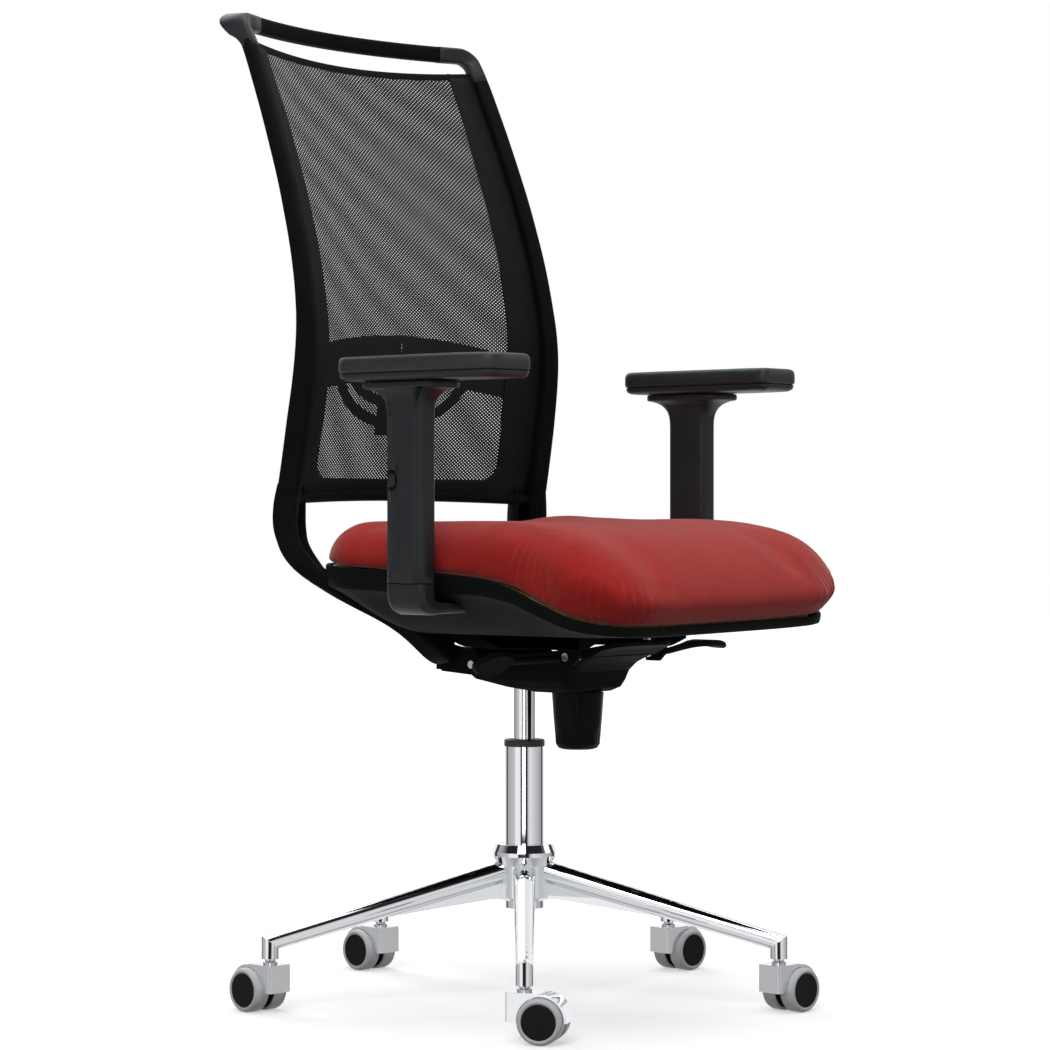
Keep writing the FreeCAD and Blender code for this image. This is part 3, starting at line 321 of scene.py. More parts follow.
def mouldedRubber(name, low, high, roughness, grain, depth):
    # soft polyurethane or acetal: matt, slightly mottled, no sharp highlight
    made, tree, shader, place = newMaterial(name, low, roughness, ior=1.5)
    cells = addNode(tree, "TexVoronoi", {"Scale": perMetre(grain)}, {"Vector": place})
    cloud = addNode(tree, "TexNoise", {"Scale": perMetre(18), "Detail": 4.0}, {"Vector": place})
    tintBetween(tree, shader, cloud.outputs["Fac"], low, high)
    bumpFrom(tree, shader, cells.outputs["Distance"], depth, edge=0.6)
    return made


def shortPileVelour(name):
    # knitted microfibre velour: the brushed pile shades lighter and darker as it leans, with a pale sheen at
    # grazing angles. A fibre is far finer than the 1.8 mm drawn, which is there so that the pile shows
    made, tree, shader, place = newMaterial(name, "#961c18", 0.82, ior=1.45)
    squashed = addNode(tree, "Mapping", {"Scale": (1.0, 0.55, 1.0)}, {"Vector": place})
    brushed = addNode(tree, "TexNoise", {"Scale": perMetre(48), "Detail": 6.0, "Roughness": 0.62,
                                         "Distortion": 0.8}, {"Vector": squashed.outputs[0]})
    pile = addNode(tree, "TexNoise", {"Scale": perMetre(1.8), "Detail": 3.0, "Roughness": 0.7},
                   {"Vector": place})
    blend = addNode(tree, "Mix", {"data_type": "FLOAT", "Factor": 0.50},
                    {2: brushed.outputs["Fac"], 3: pile.outputs["Fac"]})
    tintBetween(tree, shader, blend.outputs[0], "#981a18", "#be302b")
    shader.inputs["Sheen Weight"].default_value = 0.60
    shader.inputs["Sheen Roughness"].default_value = 0.42
    shader.inputs["Sheen Tint"].default_value = hexColour("#f6cdc7")
    shader.inputs["Specular IOR Level"].default_value = 0.12
    bumpFrom(tree, shader, blend.outputs[0], 0.9)
    return made


meshLook = {"pitchX": 6.0, "pitchZ": 4.4, "lean": 0.60, "hole": 0.62, "tight": 0.12, "tightPitch": 42.0}


def openMesh(name):
    # warp-knitted polyester net: holes offset row by row and drawn out along one diagonal, which reads as
    # fine slanting lines. The real pitch is near 2.2 mm, drawn more than twice as coarse so that it shows
    made, tree, shader, place = newMaterial(name, "#161718", 0.6, ior=1.5)
    axes = addNode(tree, "SeparateXYZ", links={0: place})

    def diagonal(sign, weight):
        across = addNode(tree, "Math", {"operation": "MULTIPLY", 1: 2000 * math.pi / meshLook["pitchX"]},
                         {0: axes.outputs["X"]})
        phase = addNode(tree, "Math", {"operation": "MULTIPLY_ADD",
                                       1: sign * 2000 * math.pi / meshLook["pitchZ"]},
                        {0: axes.outputs["Z"], 2: across.outputs[0]})
        line = addNode(tree, "Math", {"operation": "COSINE"}, {0: phase.outputs[0]})
        return addNode(tree, "Math", {"operation": "MULTIPLY", 1: weight}, {0: line.outputs[0]}).outputs[0]

    both = addNode(tree, "Math", {"operation": "ADD"},
                   {0: diagonal(1, meshLook["lean"]), 1: diagonal(-1, 1 - meshLook["lean"])}).outputs[0]
    # slow bands where the knit is pulled tighter
    slow = addNode(tree, "TexWave", {"Scale": ripples(meshLook["tightPitch"]), "Distortion": 3.0,
                                     "Detail": 1.0, "Detail Scale": 0.5, "bands_direction": "DIAGONAL"},
                   {"Vector": place})
    tight = addNode(tree, "Math", {"operation": "MULTIPLY_ADD", 1: meshLook["tight"], 2: meshLook["hole"]},
                    {0: slow.outputs["Fac"]}).outputs[0]
    hole = addNode(tree, "Math", {"operation": "GREATER_THAN"}, {0: both, 1: tight}).outputs[0]
    solid = addNode(tree, "Math", {"operation": "SUBTRACT", 0: 1.0}, {1: hole}).outputs[0]
    tree.links.new(solid, shader.inputs["Alpha"])
    shader.inputs["Specular IOR Level"].default_value = 0.2
    return made


def wovenBorder(name):
    # dense woven edging: dull black with fine ribs, really near 0.6 mm and drawn at 1.8 mm to show
    made, tree, shader, place = newMaterial(name, "#0b0b0c", 0.72, ior=1.5)
    shader.inputs["Specular IOR Level"].default_value = 0.2
    ribs = addNode(tree, "TexWave", {"Scale": ripples(1.8), "Distortion": 1.2, "Detail": 2.0,
                                     "bands_direction": "Z"}, {"Vector": place})
    cloud = addNode(tree, "TexNoise", {"Scale": perMetre(40), "Detail": 3.0}, {"Vector": place})
    tintBetween(tree, shader, cloud.outputs["Fac"], "#0a0b0b", "#111213")
    bumpFrom(tree, shader, ribs.outputs["Fac"], 0.12)
    return made


def beechPlywood(name):
    # rotary-cut veneer: broad wavy grain, pale and matt
    made, tree, shader, place = newMaterial(name, "#c49a68", 0.6)
    grain = addNode(tree, "TexWave", {"Scale": ripples(9), "Distortion": 7.0, "Detail": 3.0},
                    {"Vector": place})
    tintBetween(tree, shader, grain.outputs["Fac"], "#b98c5a", "#cfa876")
    bumpFrom(tree, shader, grain.outputs["Fac"], 0.05)
    return made


def makeMaterials():
    return {
        "plastic": mouldedPlastic("polypropylene, fine spark-eroded grain"),
        "satin": mouldedPlastic("glass-filled nylon, satin moulded"),
        "gloss": flutedKnob("nylon cover, gloss moulded"),
        "chrome": polishedChrome("chromium plate on buffed die casting", 0.045, 0.05),
        "tube": polishedChrome("chromium plate on drawn tube", 0.035, 0.01),
        "steel": turnedSteel("bright turned steel"),
        "ring": mouldedRubber("acetal guide ring, dark grey", "#2b2c2e", "#38393b", 0.5, 1.5, 0.02),
        "pad": mouldedRubber("integral-skin polyurethane", "#1b1c1e", "#25262a", 0.52, 1.3, 0.05),
        "tread": mouldedRubber("soft grey polyurethane tread", "#d2d4d6", "#e2e4e6", 0.48, 2.0, 0.02),
        "disc": mouldedPlastic("wheel centre, moulded nylon"),
        "velour": shortPileVelour("short-pile microfibre velour"),
        "mesh": openMesh("warp-knitted net"),
        "border": wovenBorder("woven polyester edging"),
        "plywood": beechPlywood("moulded beech plywood"),
    }


def dressNodes(looks):
    # the CAD pieces that stay visible get their finish
    bySlot = {"polished_chrome": "chrome", "bright_steel": "steel", "black_plastic": "plastic",
              "charcoal_plastic": "satin", "black_casting": "plastic", "black_steel": "satin",
              "soft_pad": "pad", "wheel_black": "disc", "grey_tread": "tread", "plywood": "plywood",
              "red_velour": "velour", "black_mesh": "mesh"}
    special = {"lift_tube": "tube", "gas_cylinder": "tube", "guide_bush": "ring", "tension_knob": "gloss"}
    for sub in frame["record"]["subparts"]:
        name = sub["node"]
        look = looks[special.get(name, bySlot[sub["material_slot"]])]
        slots = nodes[name].data.materials
        slots.clear()
        slots.append(look)


def surface(name, rings, look, body, closed=True, caps=(False, False), thick=0.0):
    # skins a list of rings of points in millimetres, all with the same count
    count = len(rings[0])
    points = [tuple(c * mm for c in p) for ring in rings for p in ring]
    faces = []
    span = count if closed else count - 1
    for i in range(len(rings) - 1):
        for j in range(span):
            k = (j + 1) % count
            faces.append((i * count + j, i * count + k, (i + 1) * count + k, (i + 1) * count + j))
    if caps[0]:
        faces.append(tuple(range(count))[::-1])
    if caps[1]:
        last = (len(rings) - 1) * count
        faces.append(tuple(range(last, last + count)))
    mesh = bpy.data.meshes.new(name)
    mesh.from_pydata(points, [], faces)
    mesh.update()
    mesh.materials.append(look)
    piece = bpy.data.objects.new(name, mesh)
    bpy.context.scene.collection.objects.link(piece)
    tidyNormals(piece)
    for polygon in mesh.polygons:
        polygon.use_smooth = True
    if thick:
        wall = piece.modifiers.new("wall", "SOLIDIFY")
        wall.thickness = thick * mm
        wall.offset = 0.0
    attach(piece, body)
    return piece


def sideName(sign):
    return "Left" if sign > 0 else "Right"


def tidyNormals(piece):
    work = bmesh.new()
    work.from_mesh(piece.data)
    bmesh.ops.recalc_face_normals(work, faces=work.faces)
    work.to_mesh(piece.data)
    work.free()


def reading(table, value):
    # straight-line reading of (key, value) pairs with rising keys
    return float(np.interp(value, [k for k, v in table], [v for k, v in table]))


def curveThrough(points, count):
    # Catmull-Rom line through points of any dimension, sampled evenly by parameter
    points = [np.array(p, float) for p in points]
    points = [2 * points[0] - points[1]] + points + [2 * points[-1] - points[-2]]
    spans = len(points) - 3
    out = []
    for i in range(count):
        t = i / (count - 1) * spans
        k = min(int(t), spans - 1)
        t -= k
        a, b, c, d = points[k:k + 4]
        out.append(0.5 * (2 * b + (c - a) * t + (2 * a - 5 * b + 4 * c - d) * t * t
                          + (3 * b - a - 3 * c + d) * t ** 3))
    return out


def roundedSection(width, height, radius, perCorner=4):
    # points (a, b) round a rounded rectangle about its centre
    points = []
    for cx, cy, start in ((1, 1, 0), (-1, 1, 90), (-1, -1, 180), (1, -1, 270)):
        for step in range(perCorner + 1):
            angle = math.radians(start + 90 * step / perCorner)
            points.append((cx * (width / 2 - radius) + radius * math.cos(angle),
                           cy * (height / 2 - radius) + radius * math.sin(angle)))
    return points


def seatOutline(inset, count):
    # plan of the seat, moved in by inset; every ring has matching points
    seat = seatShape
    half = seat["width"] / 2
    front, rear = seat["front"], seat["rear"]
    radius = seat["corner"]
    centres = [(half - radius, rear - radius, 0), (-half + radius, rear - radius, 90),
               (-half + radius, front + radius, 180), (half - radius, front + radius, 270)]
    path = []
    perCorner = count // 8
    perSide = count // 4 - perCorner
    for i, (cx, cy, start) in enumerate(centres):
        for step in range(perCorner):
            angle = math.radians(start + 90 * step / perCorner)
            path.append((cx + (radius - inset) * math.cos(angle), cy + (radius - inset) * math.sin(angle)))
        angle = math.radians(start + 90)
        a = (cx + (radius - inset) * math.cos(angle), cy + (radius - inset) * math.sin(angle))
        nx, ny, nstart = centres[(i + 1) % 4]
        angle = math.radians(nstart)
        b = (nx + (radius - inset) * math.cos(angle), ny + (radius - inset) * math.sin(angle))
        for step in range(perSide):
            share = step / perSide
            path.append((a[0] + (b[0] - a[0]) * share, a[1] + (b[1] - a[1]) * share))
    return path


seatShape = {
    "width": 500.0, "front": -336.0, "rear": 158.0, "corner": 86.0,
    # heights by depth: the seam, the top along the middle, and how much the sides rise above it
    "seam": [(-356, 482), (-336, 483), (-300, 486), (-262, 494), (-225, 511), (-185, 530), (-130, 541),
             (-60, 545), (60, 549), (158, 555), (178, 556)],
    "topLine": [(-360, 515), (-345, 531), (-318, 555), (-300, 567), (-273, 583), (-246, 592), (-200, 599),
                (-140, 601), (-60, 599), (60, 597), (100, 597), (140, 597), (158, 596), (175, 595)],
    "bolster": [(-260, 1), (-175, 4), (-30, 8), (60, 12), (120, 14), (158, 14)],
    "lean": [(-336, 4), (-200, 2), (-60, 1), (120, 5)],     # the foam has settled a little to the right
    # the side from the seam up: share of the height, inset at the sides and rear, inset at the front
    "sideCurve": [(0.0, 4.0, 17.0), (0.08, 1.5, 9.0), (0.18, 0.4, 2.0), (0.32, 1.2, -6.0), (0.50, 5.0, -10.0),
                  (0.67, 11.5, -7.0), (0.80, 20.5, 0.0), (0.89, 32.0, 10.0), (0.95, 46.0, 22.0),
                  (0.985, 61.0, 38.0), (1.0, 77.0, 56.0)],
    "bolsterReach": 215.0,
    "frontStart": 190.0, "frontFade": 110.0,     # where the front's own shape fades in, forward of the middle
    "cornerRise": 6.0, "seamLean": 4.0,
    "points": 192,       # round the plan; a multiple of eight
    "topRings": 22,
}


def seamZ(y, x=0.0):
    seat = seatShape
    # smoothed a little so that the rim has no kinks
    level = float(np.mean([reading(seat["seam"], y + d) for d in (-16, -8, 0, 8, 16)]))
    side = x / (seat["width"] / 2)
    return level + frontShare(y) * (seat["cornerRise"] * min(abs(side), 1) ** 4 + seat["seamLean"] * side)


def cushionTop(x, y):
    seat = seatShape
    level = float(np.mean([reading(seat["topLine"], y + d) for d in (-14, -7, 0, 7, 14)]))
    side = x / seat["bolsterReach"]
    bolster = reading(seat["bolster"], y) * min(abs(side), 1.05) ** 1.7
    return level + bolster + reading(seat["lean"], y) * side


def frontShare(y):
    share = min(max((-y - seatShape["frontStart"]) / seatShape["frontFade"], 0), 1)
    return share * share * (3 - 2 * share)


def outlinePoints(insetSide, insetFront):
    # the seat's plan with one inset at the sides and rear and another round the front
    near = seatOutline(insetSide, seatShape["points"])
    far = seatOutline(insetFront, seatShape["points"])
    plainY = [y for x, y in seatOutline(0, seatShape["points"])]
    out = []
    for (ax, ay), (bx, by), y in zip(near, far, plainY):
        share = frontShare(y)
        out.append((ax + (bx - ax) * share, ay + (by - ay) * share))
    return out


def makeCushion(looks):
    seat = seatShape
    rings = []
    # up the side from the seam, round the shoulder and in over the top
    for share, side, front in curveThrough(seat["sideCurve"], 26):
        ring = []
        for x, y in outlinePoints(side, front):
            low = seamZ(y, x)
            ring.append((x, y, low + (cushionTop(x, y) - low) * min(share, 1)))
        rings.append(ring)
    edge = outlinePoints(seat["sideCurve"][-1][1], seat["sideCurve"][-1][2])
    middleY = (seat["front"] + seat["rear"]) / 2
    for step in range(1, seat["topRings"]):
        share = 1 - step / seat["topRings"]
        ring = []
        for x, y in edge:
            px, py = x * share, middleY + (y - middleY) * share
            ring.append((px, py, cushionTop(px, py)))
        rings.append(ring)
    base = [[(x, y, seamZ(y, x) + 0.5) for x, y in outlinePoints(side, side + 20)] for side in (30, 6)]
    cushion = surface("seatCushion", base + rings, looks["velour"], "seat", caps=(True, True))
    puffUp(cushion)
    gatherWrinkles(cushion)
    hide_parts("seat_cushion")


clothSetup = {"voxel": 6.0, "pressure": 4.0, "frames": 20, "mostMove": 4.0, "heldHeight": 5.0, "easing": 14,
              "tension": 25, "compression": 18, "bending": 3}


def puffUp(cushion):
    # the cover is a cloth blown against its seam, so that it swells softly between its fixings
    remesh = cushion.modifiers.new("even", "REMESH")
    remesh.mode = "VOXEL"
    remesh.voxel_size = clothSetup["voxel"] * mm
    remesh.use_smooth_shade = True
    bakeModifiers(cushion)
    held = cushion.vertex_groups.new(name="held")
    still = [v.index for v in cushion.data.vertices
             if v.co.z / mm < seamZ(v.co.y / mm, v.co.x / mm) + clothSetup["heldHeight"]]
    held.add(still, 1.0, "REPLACE")
    before = [v.co.copy() for v in cushion.data.vertices]
    cloth = cushion.modifiers.new("cover", "CLOTH")
    cloth.settings.quality = 5
    cloth.settings.mass = 0.3
    cloth.settings.tension_stiffness = clothSetup["tension"]
    cloth.settings.compression_stiffness = clothSetup["compression"]
    cloth.settings.bending_stiffness = clothSetup["bending"]
    cloth.settings.vertex_group_mass = "held"
    cloth.settings.use_pressure = True
    cloth.settings.uniform_pressure_force = clothSetup["pressure"]
    cloth.settings.effector_weights.gravity = 0
    cloth.point_cache.frame_end = clothSetup["frames"]
    for frameNumber in range(1, clothSetup["frames"] + 1):
        bpy.context.scene.frame_set(frameNumber)
    shaped = cushion.evaluated_get(bpy.context.evaluated_depsgraph_get()).to_mesh()
    after = [v.co.copy() for v in shaped.vertices]
    cushion.modifiers.remove(cloth)
    bpy.context.scene.frame_set(1)
    most = clothSetup["mostMove"] * mm
    for vertex, start, end in zip(cushion.data.vertices, before, after):
        move = end - start
        if move.length > most:
            move *= most / move.length
        vertex.co = start + move
    # the foam below lets only the broad swells show
    ease = cushion.modifiers.new("ease", "SMOOTH")
    ease.factor = 0.5
    ease.iterations = clothSetup["easing"]
    smooth = cushion.modifiers.new("smooth", "SUBSURF")
    smooth.levels = 1
    bakeModifiers(cushion)


def bakeModifiers(piece):
    # writes what the modifiers make into the mesh itself
    bpy.context.view_layer.update()
    made = bpy.data.meshes.new_from_object(piece.evaluated_get(bpy.context.evaluated_depsgraph_get()))
    piece.modifiers.clear()
    piece.data = made


wrinkleSetup = {"depth": 1.7, "spacing": 12.0, "reach": 56.0, "middle": 70.0, "spread": 46.0}


def gatherWrinkles(cushion):
    # small upright gathers where the cover is pulled round the front corners
    seat = seatShape
    setup = wrinkleSetup
    cx = seat["width"] / 2 - seat["corner"]
    cy = seat["front"] + seat["corner"]
    for vertex in cushion.data.vertices:
        x, y, z = (c / mm for c in vertex.co)
        dx, dy = abs(x) - cx, cy - y
        above = z - seamZ(y, x)
        if dx < -60 or dy < -70 or above < 0.6 or above > setup["reach"]:
            continue
        angle = math.atan2(max(dy, 1e-3), max(dx, 1e-3))
        along = angle * seat["corner"] + max(-dy, 0)
        fade = math.sin(math.pi * above / setup["reach"]) ** 0.8
        fade *= math.exp(-((along - setup["middle"]) / setup["spread"]) ** 2)
        wave = math.sin(2 * math.pi * along / setup["spacing"] + 0.7 * math.sin(z / 9))
        push = setup["depth"] * fade * wave
        norm = math.hypot(max(dx, 0), max(dy, 0)) or 1.0
        sign = 1 if x > 0 else -1
        vertex.co.x += sign * push * max(dx, 0) / norm * mm
        vertex.co.y -= push * max(dy, 0) / norm * mm


shellShape = {
    "bandRear": 27.0, "bandFront": 10.5, "bottom": 467.0, "frontTuck": 11.0,
    # the rim from its lip down: inset, share of the band's height
    "rim": [(6, 0.02), (1.5, 0.0), (0.2, 0.05), (0, 0.15), (0.6, 0.55), (2.0, 0.93), (4.5, 1.0), (7.0, 1.04)],
    # how far the bowl draws in to its flat bottom: sides, rear, front
    "drawSide": 0.46, "drawRear": 0.60, "drawFront": 0.42, "bowlRings": 11,
    "panInset": 9.0, "panFrontInset": 28.0, "panThick": 9.0,
}


def bandHeight(y):
    shape = shellShape
    share = (y - seatShape["front"]) / (seatShape["rear"] - seatShape["front"])
    return shape["bandFront"] + (shape["bandRear"] - shape["bandFront"]) * min(share * 1.7, 1)


def makeShell(looks):
    shape = shellShape
    rings = []
    for inset, part in shape["rim"]:
        rings.append([(x, y, seamZ(y, x) - bandHeight(y) * part)
                      for x, y in outlinePoints(inset, inset + shape["frontTuck"])])
    rim = rings[-1]
    for step in range(1, shape["bowlRings"] + 1):
        share = step / shape["bowlRings"]
        ring = []
        for x, y, z in rim:
            draw = shape["drawRear"] if y > 0 else shape["drawFront"]
            drop = (shape["bottom"] - z) * math.sin(math.pi / 2 * share) ** 1.15
            ring.append((x * (1 - shape["drawSide"] * share), y * (1 - draw * share), z + drop))
        rings.append(ring)
    shell = surface("seatShell", rings, looks["plastic"], "seat", caps=(False, True))
    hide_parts("seat_shell")
    board = [[(x, y, seamZ(y, x) - drop) for x, y in outlinePoints(shape["panInset"], shape["panFrontInset"])]
             for drop in (1.0, 1.0 + shape["panThick"])]
    pan = surface("seatPan", board, looks["plywood"], "seat", caps=(True, True))
    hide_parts("seat_pan")


skirtShape = {"x": 86.5, "thick": 3.0, "top": 468.5,
              "low": [(-190, 460), (-168, 450), (-20, 448), (30, 450), (51, 459)]}


def makeSkirt(looks):
    # pressed side walls of the seat carrier
    shape = skirtShape
    first, last = shape["low"][0][0], shape["low"][-1][0]
    for sign in (-1, 1):
        rings = []
        for step in range(31):
            y = first + (last - first) * step / 30
            low = reading(shape["low"], y)
            tall = shape["top"] - low
            rings.append([(sign * shape["x"] + a, y, low + tall / 2 + b)
                          for a, b in roundedSection(shape["thick"], tall, 1.2)])
        surface("carrierSkirt" + sideName(sign), rings, looks["plastic"], "seat",
                caps=(True, True))


# x, z, width and thickness along the lever
leverPath = [(46, 438, 8, 8), (90, 438, 8, 8), (135, 440, 8, 8), (172, 445, 10, 9), (192, 448, 19, 9),
             (214, 449, 32, 8.5), (236, 448, 35, 8), (250, 445, 27, 7), (257, 443, 12, 5)]


def makeTiltLever(looks):
    # round shaft flattened into a leaf-shaped grip
    line = curveThrough(leverPath, 44)
    path = [(p[0], -119.0, p[1]) for p in line]
    sections = [roundedSection(p[2], p[3], min(p[2], p[3]) / 2 - 0.4) for p in line]
    piece = surface("tiltLever", sweep(path, sections, (0, 1, 0)), looks["plastic"], "tilt_lever",
                    caps=(True, True))
    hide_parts("tilt_lever")


backShape = {
    "side": [(600, 189), (617, 186), (660, 177), (730, 165), (790, 156), (840, 153), (890, 159), (950, 171),
             (1034, 196), (1122, 229), (1212, 267), (1236, 281), (1262, 300)],
    "half": [(600, 250), (640, 250), (819, 246), (1260, 230)],
    "depth": [(617, 27), (730, 29), (820, 26), (900, 21), (1034, 19), (1250, 17)],
    "sag": 45.0, "sideLean": 0.34,
}


def sideY(z):
    keys = [k for k, v in backShape["side"]]
    values = [v for k, v in backShape["side"]]
    return float(np.mean([np.interp(z + d, keys, values) for d in (-24, -12, 0, 12, 24)]))


def backHalf(z):
    return reading(backShape["half"], z)


def backY(x, z):
    share = x / backHalf(z)
    return sideY(z) + backShape["sag"] * (1 - share * share)


def sweep(path, sections, across):
    # rings of (a, b) sections along a path; across is the direction of a
    rings = []
    for i, point in enumerate(path):
        p = Vector(point)
        before = Vector(path[max(i - 1, 0)])
        after = Vector(path[min(i + 1, len(path) - 1)])
        along = (after - before).normalized()
        side = Vector(across[i] if isinstance(across, list) else across)
        side = (side - along * side.dot(along)).normalized()
        deep = along.cross(side)
        section = sections[i] if isinstance(sections[0][0], (list, tuple)) else sections
        rings.append([tuple(p + side * a + deep * b) for a, b in section])
    return rings


uprightShape = {"low": 612.0, "high": 1214.0, "wide": 21.0, "round": 5.5, "steps": 45}
lowerBarShape = {"half": 236.0, "z": 634.0, "crown": 5.0, "curveZ": 636.0, "tall": 22.0, "deep": 13.0,
                 "round": 4.5}


def makeUprights(looks):
    shape = uprightShape
    for sign in (-1, 1):
        path = []
        sections = []
        for step in range(shape["steps"] + 1):
            z = shape["low"] + (shape["high"] - shape["low"]) * step / shape["steps"]
            path.append((sign * (backHalf(z) - shape["wide"] / 2), sideY(z) + 1, z))
            sections.append(roundedSection(shape["wide"], reading(backShape["depth"], z), shape["round"]))
        rings = sweep(path, sections, (1, -sign * backShape["sideLean"], 0))
        surface("backUpright" + sideName(sign), rings, looks["plastic"], "back",
                              caps=(True, True))
    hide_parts("back_frame")
    bar = lowerBarShape
    path = []
    for step in range(31):
        share = -1 + step / 15
        x = share * bar["half"]
        path.append((x, backY(x, bar["curveZ"]) + 1, bar["z"] + bar["crown"] * (1 - share * share)))
    rings = sweep(path, roundedSection(bar["tall"], bar["deep"], bar["round"]), (0, 1, 0))
    surface("backLowerBar", rings, looks["plastic"], "back", caps=(True, True))


# x, y, z, width and depth down each arm of the yoke
yokeLine = [(228, 186, 652, 44, 26), (229, 188, 626, 45, 32), (229, 188, 600, 46, 32),
            (228, 181, 577, 44, 28), (224, 166, 557, 42, 24), (212, 145, 534, 38, 19),
            (186, 116, 512, 32, 18), (150, 89, 490, 30, 18), (118, 74, 470, 32, 20), (84, 68, 450, 40, 26)]


def makeYoke(looks):
    # channel-section arms that curve from the uprights to the tilt pivot
    line = curveThrough(yokeLine, 54)
    for sign in (-1, 1):
        path = [(sign * p[0], p[1], p[2]) for p in line]
        sections = [channelSection(p[3], p[4], sign) for p in line]
        lean = []
        for p in line:
            straight = min(max((p[2] - 500) / 60, 0), 1)
            lean.append((1, -sign * backShape["sideLean"] * straight, -0.35 * sign * (straight - 1)))
        rings = sweep(path, sections, lean)
        surface("yokeArm" + sideName(sign), rings, looks["plastic"], "back",
                caps=(True, True))


def channelSection(width, depth, sign):
    # open to the front, thick outer wall, thin inner lip
    w, d = width / 2, depth / 2
    wall = 7.0
    points = [(w, -d + 1.5), (w - 1.5, -d), (w - wall, -d), (w - wall - 0.8, -d + 1), (w - wall - 0.8, d - 7),
              (-w + 4.5, d - 7), (-w + 4.5, -d + 7), (-w + 1, -d + 6), (-w, -d + 7), (-w, d - 3), (-w + 3, d),
              (w - 4, d), (w - 1, d - 1.5), (w, d - 4)]
    return [(a * sign, -b) for a, b in points]


handleShape = {"top": 1243.5, "start": 1204.0, "corner": 15.0, "wide": 21.0, "deep": 17.0, "endLength": 46.0,
               "horn": 31.0, "hornFade": 40.0, "proud": 0.7, "round": 5.2}


def makeHandle(looks):
    # the uprights run round into a crossbar; its ends are separate lighter mouldings that flare to the rear
    shape = handleShape
    half = backHalf(1230) - uprightShape["wide"] / 2
    corner = shape["corner"]
    low = shape["top"] - corner
    points = [(-half, shape["start"] + (low - shape["start"]) * step / 3) for step in range(3)]
    for step in range(13):
        angle = math.pi / 2 * step / 12
        points.append((-half + corner * (1 - math.cos(angle)), low + corner * math.sin(angle)))
    points += [(-half + corner + (half - corner) * step / 14, shape["top"]) for step in range(1, 15)]
    points += [(-x, z) for x, z in points[:-1]][::-1]
    path = [(x, sideY(z) + 1 + backShape["sag"] * (1 - min(abs(x) / half, 1) ** 2), z) for x, z in points]

    def sections(indices, grow):
        made = []
        for i in indices:
            x, z = points[i]
            reach = max(0.0, 1 - math.hypot(abs(x) - half, z - shape["top"]) / shape["hornFade"]) ** 2
            flat = roundedSection(shape["wide"] + grow, shape["deep"] + grow, shape["round"])
            # the outer rear edge draws out into the horn
            pull = [shape["horn"] * reach * max(a / shape["wide"] * 2, 0) ** 2 * (b > 0) for a, b in flat]
            made.append([(a, b + more) for (a, b), more in zip(flat, pull)])
        return made

    rings = sweepLevel(path, sections(range(len(path)), 0))
    bar = surface("topHandle", rings, looks["plastic"], "back", caps=(True, True))
    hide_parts("back_handle")
    for sign in (-1, 1):
        chosen = [i for i, (x, z) in enumerate(points) if sign * x > half - shape["endLength"]]
        rings = sweepLevel([path[i] for i in chosen], sections(chosen, shape["proud"]))
        surface("handleEnd" + sideName(sign), rings, looks["satin"], "back",
                caps=(True, True))


def sweepLevel(path, sections):
    # sections stand square to the path, with b towards the rear
    rings = []
    for i, point in enumerate(path):
        p = Vector(point)
        along = (Vector(path[min(i + 1, len(path) - 1)]) - Vector(path[max(i - 1, 0)])).normalized()
        back = Vector((2 * backShape["sag"] * p.x / backHalf(p.z) ** 2, 1, 0))
        back = (back - along * back.dot(along)).normalized()
        up = along.cross(back)
        rings.append([tuple(p + up * a + back * b) for a, b in sections[i]])
    return rings


netShape = {"top": 1219.0, "dip": 12.0, "bottom": 640.0, "windowBottom": 661.0, "cornerRadius": 24.0,
            "window": [(655, 176), (760, 172), (860, 174), (950, 176), (1100, 176), (1215, 178)], "hem": 9.0,
            "edgeInset": 18.0, "bandInset": 17.0, "bandBottom": 637.0, "columns": 60, "rows": 90}


def windowHalf(z):
    return reading(netShape["window"], z)


def hemZ(x):
    share = x / 225
    return netShape["top"] - netShape["dip"] * (1 - share * share)


def makeNet(looks):
    shape = netShape
    rows = []
    for i in range(shape["rows"] + 1):
        row = []
        for j in range(shape["columns"] + 1):
            share = -1 + 2 * j / shape["columns"]
            z = shape["bottom"] + (hemZ(share * 226) - shape["bottom"]) * i / shape["rows"]
            x = share * (backHalf(z) - shape["edgeInset"])
            row.append((x, backY(x, z), z))
        rows.append(row)
    net = surface("backNet", rows, looks["mesh"], "back", closed=False)
    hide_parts("back_mesh")


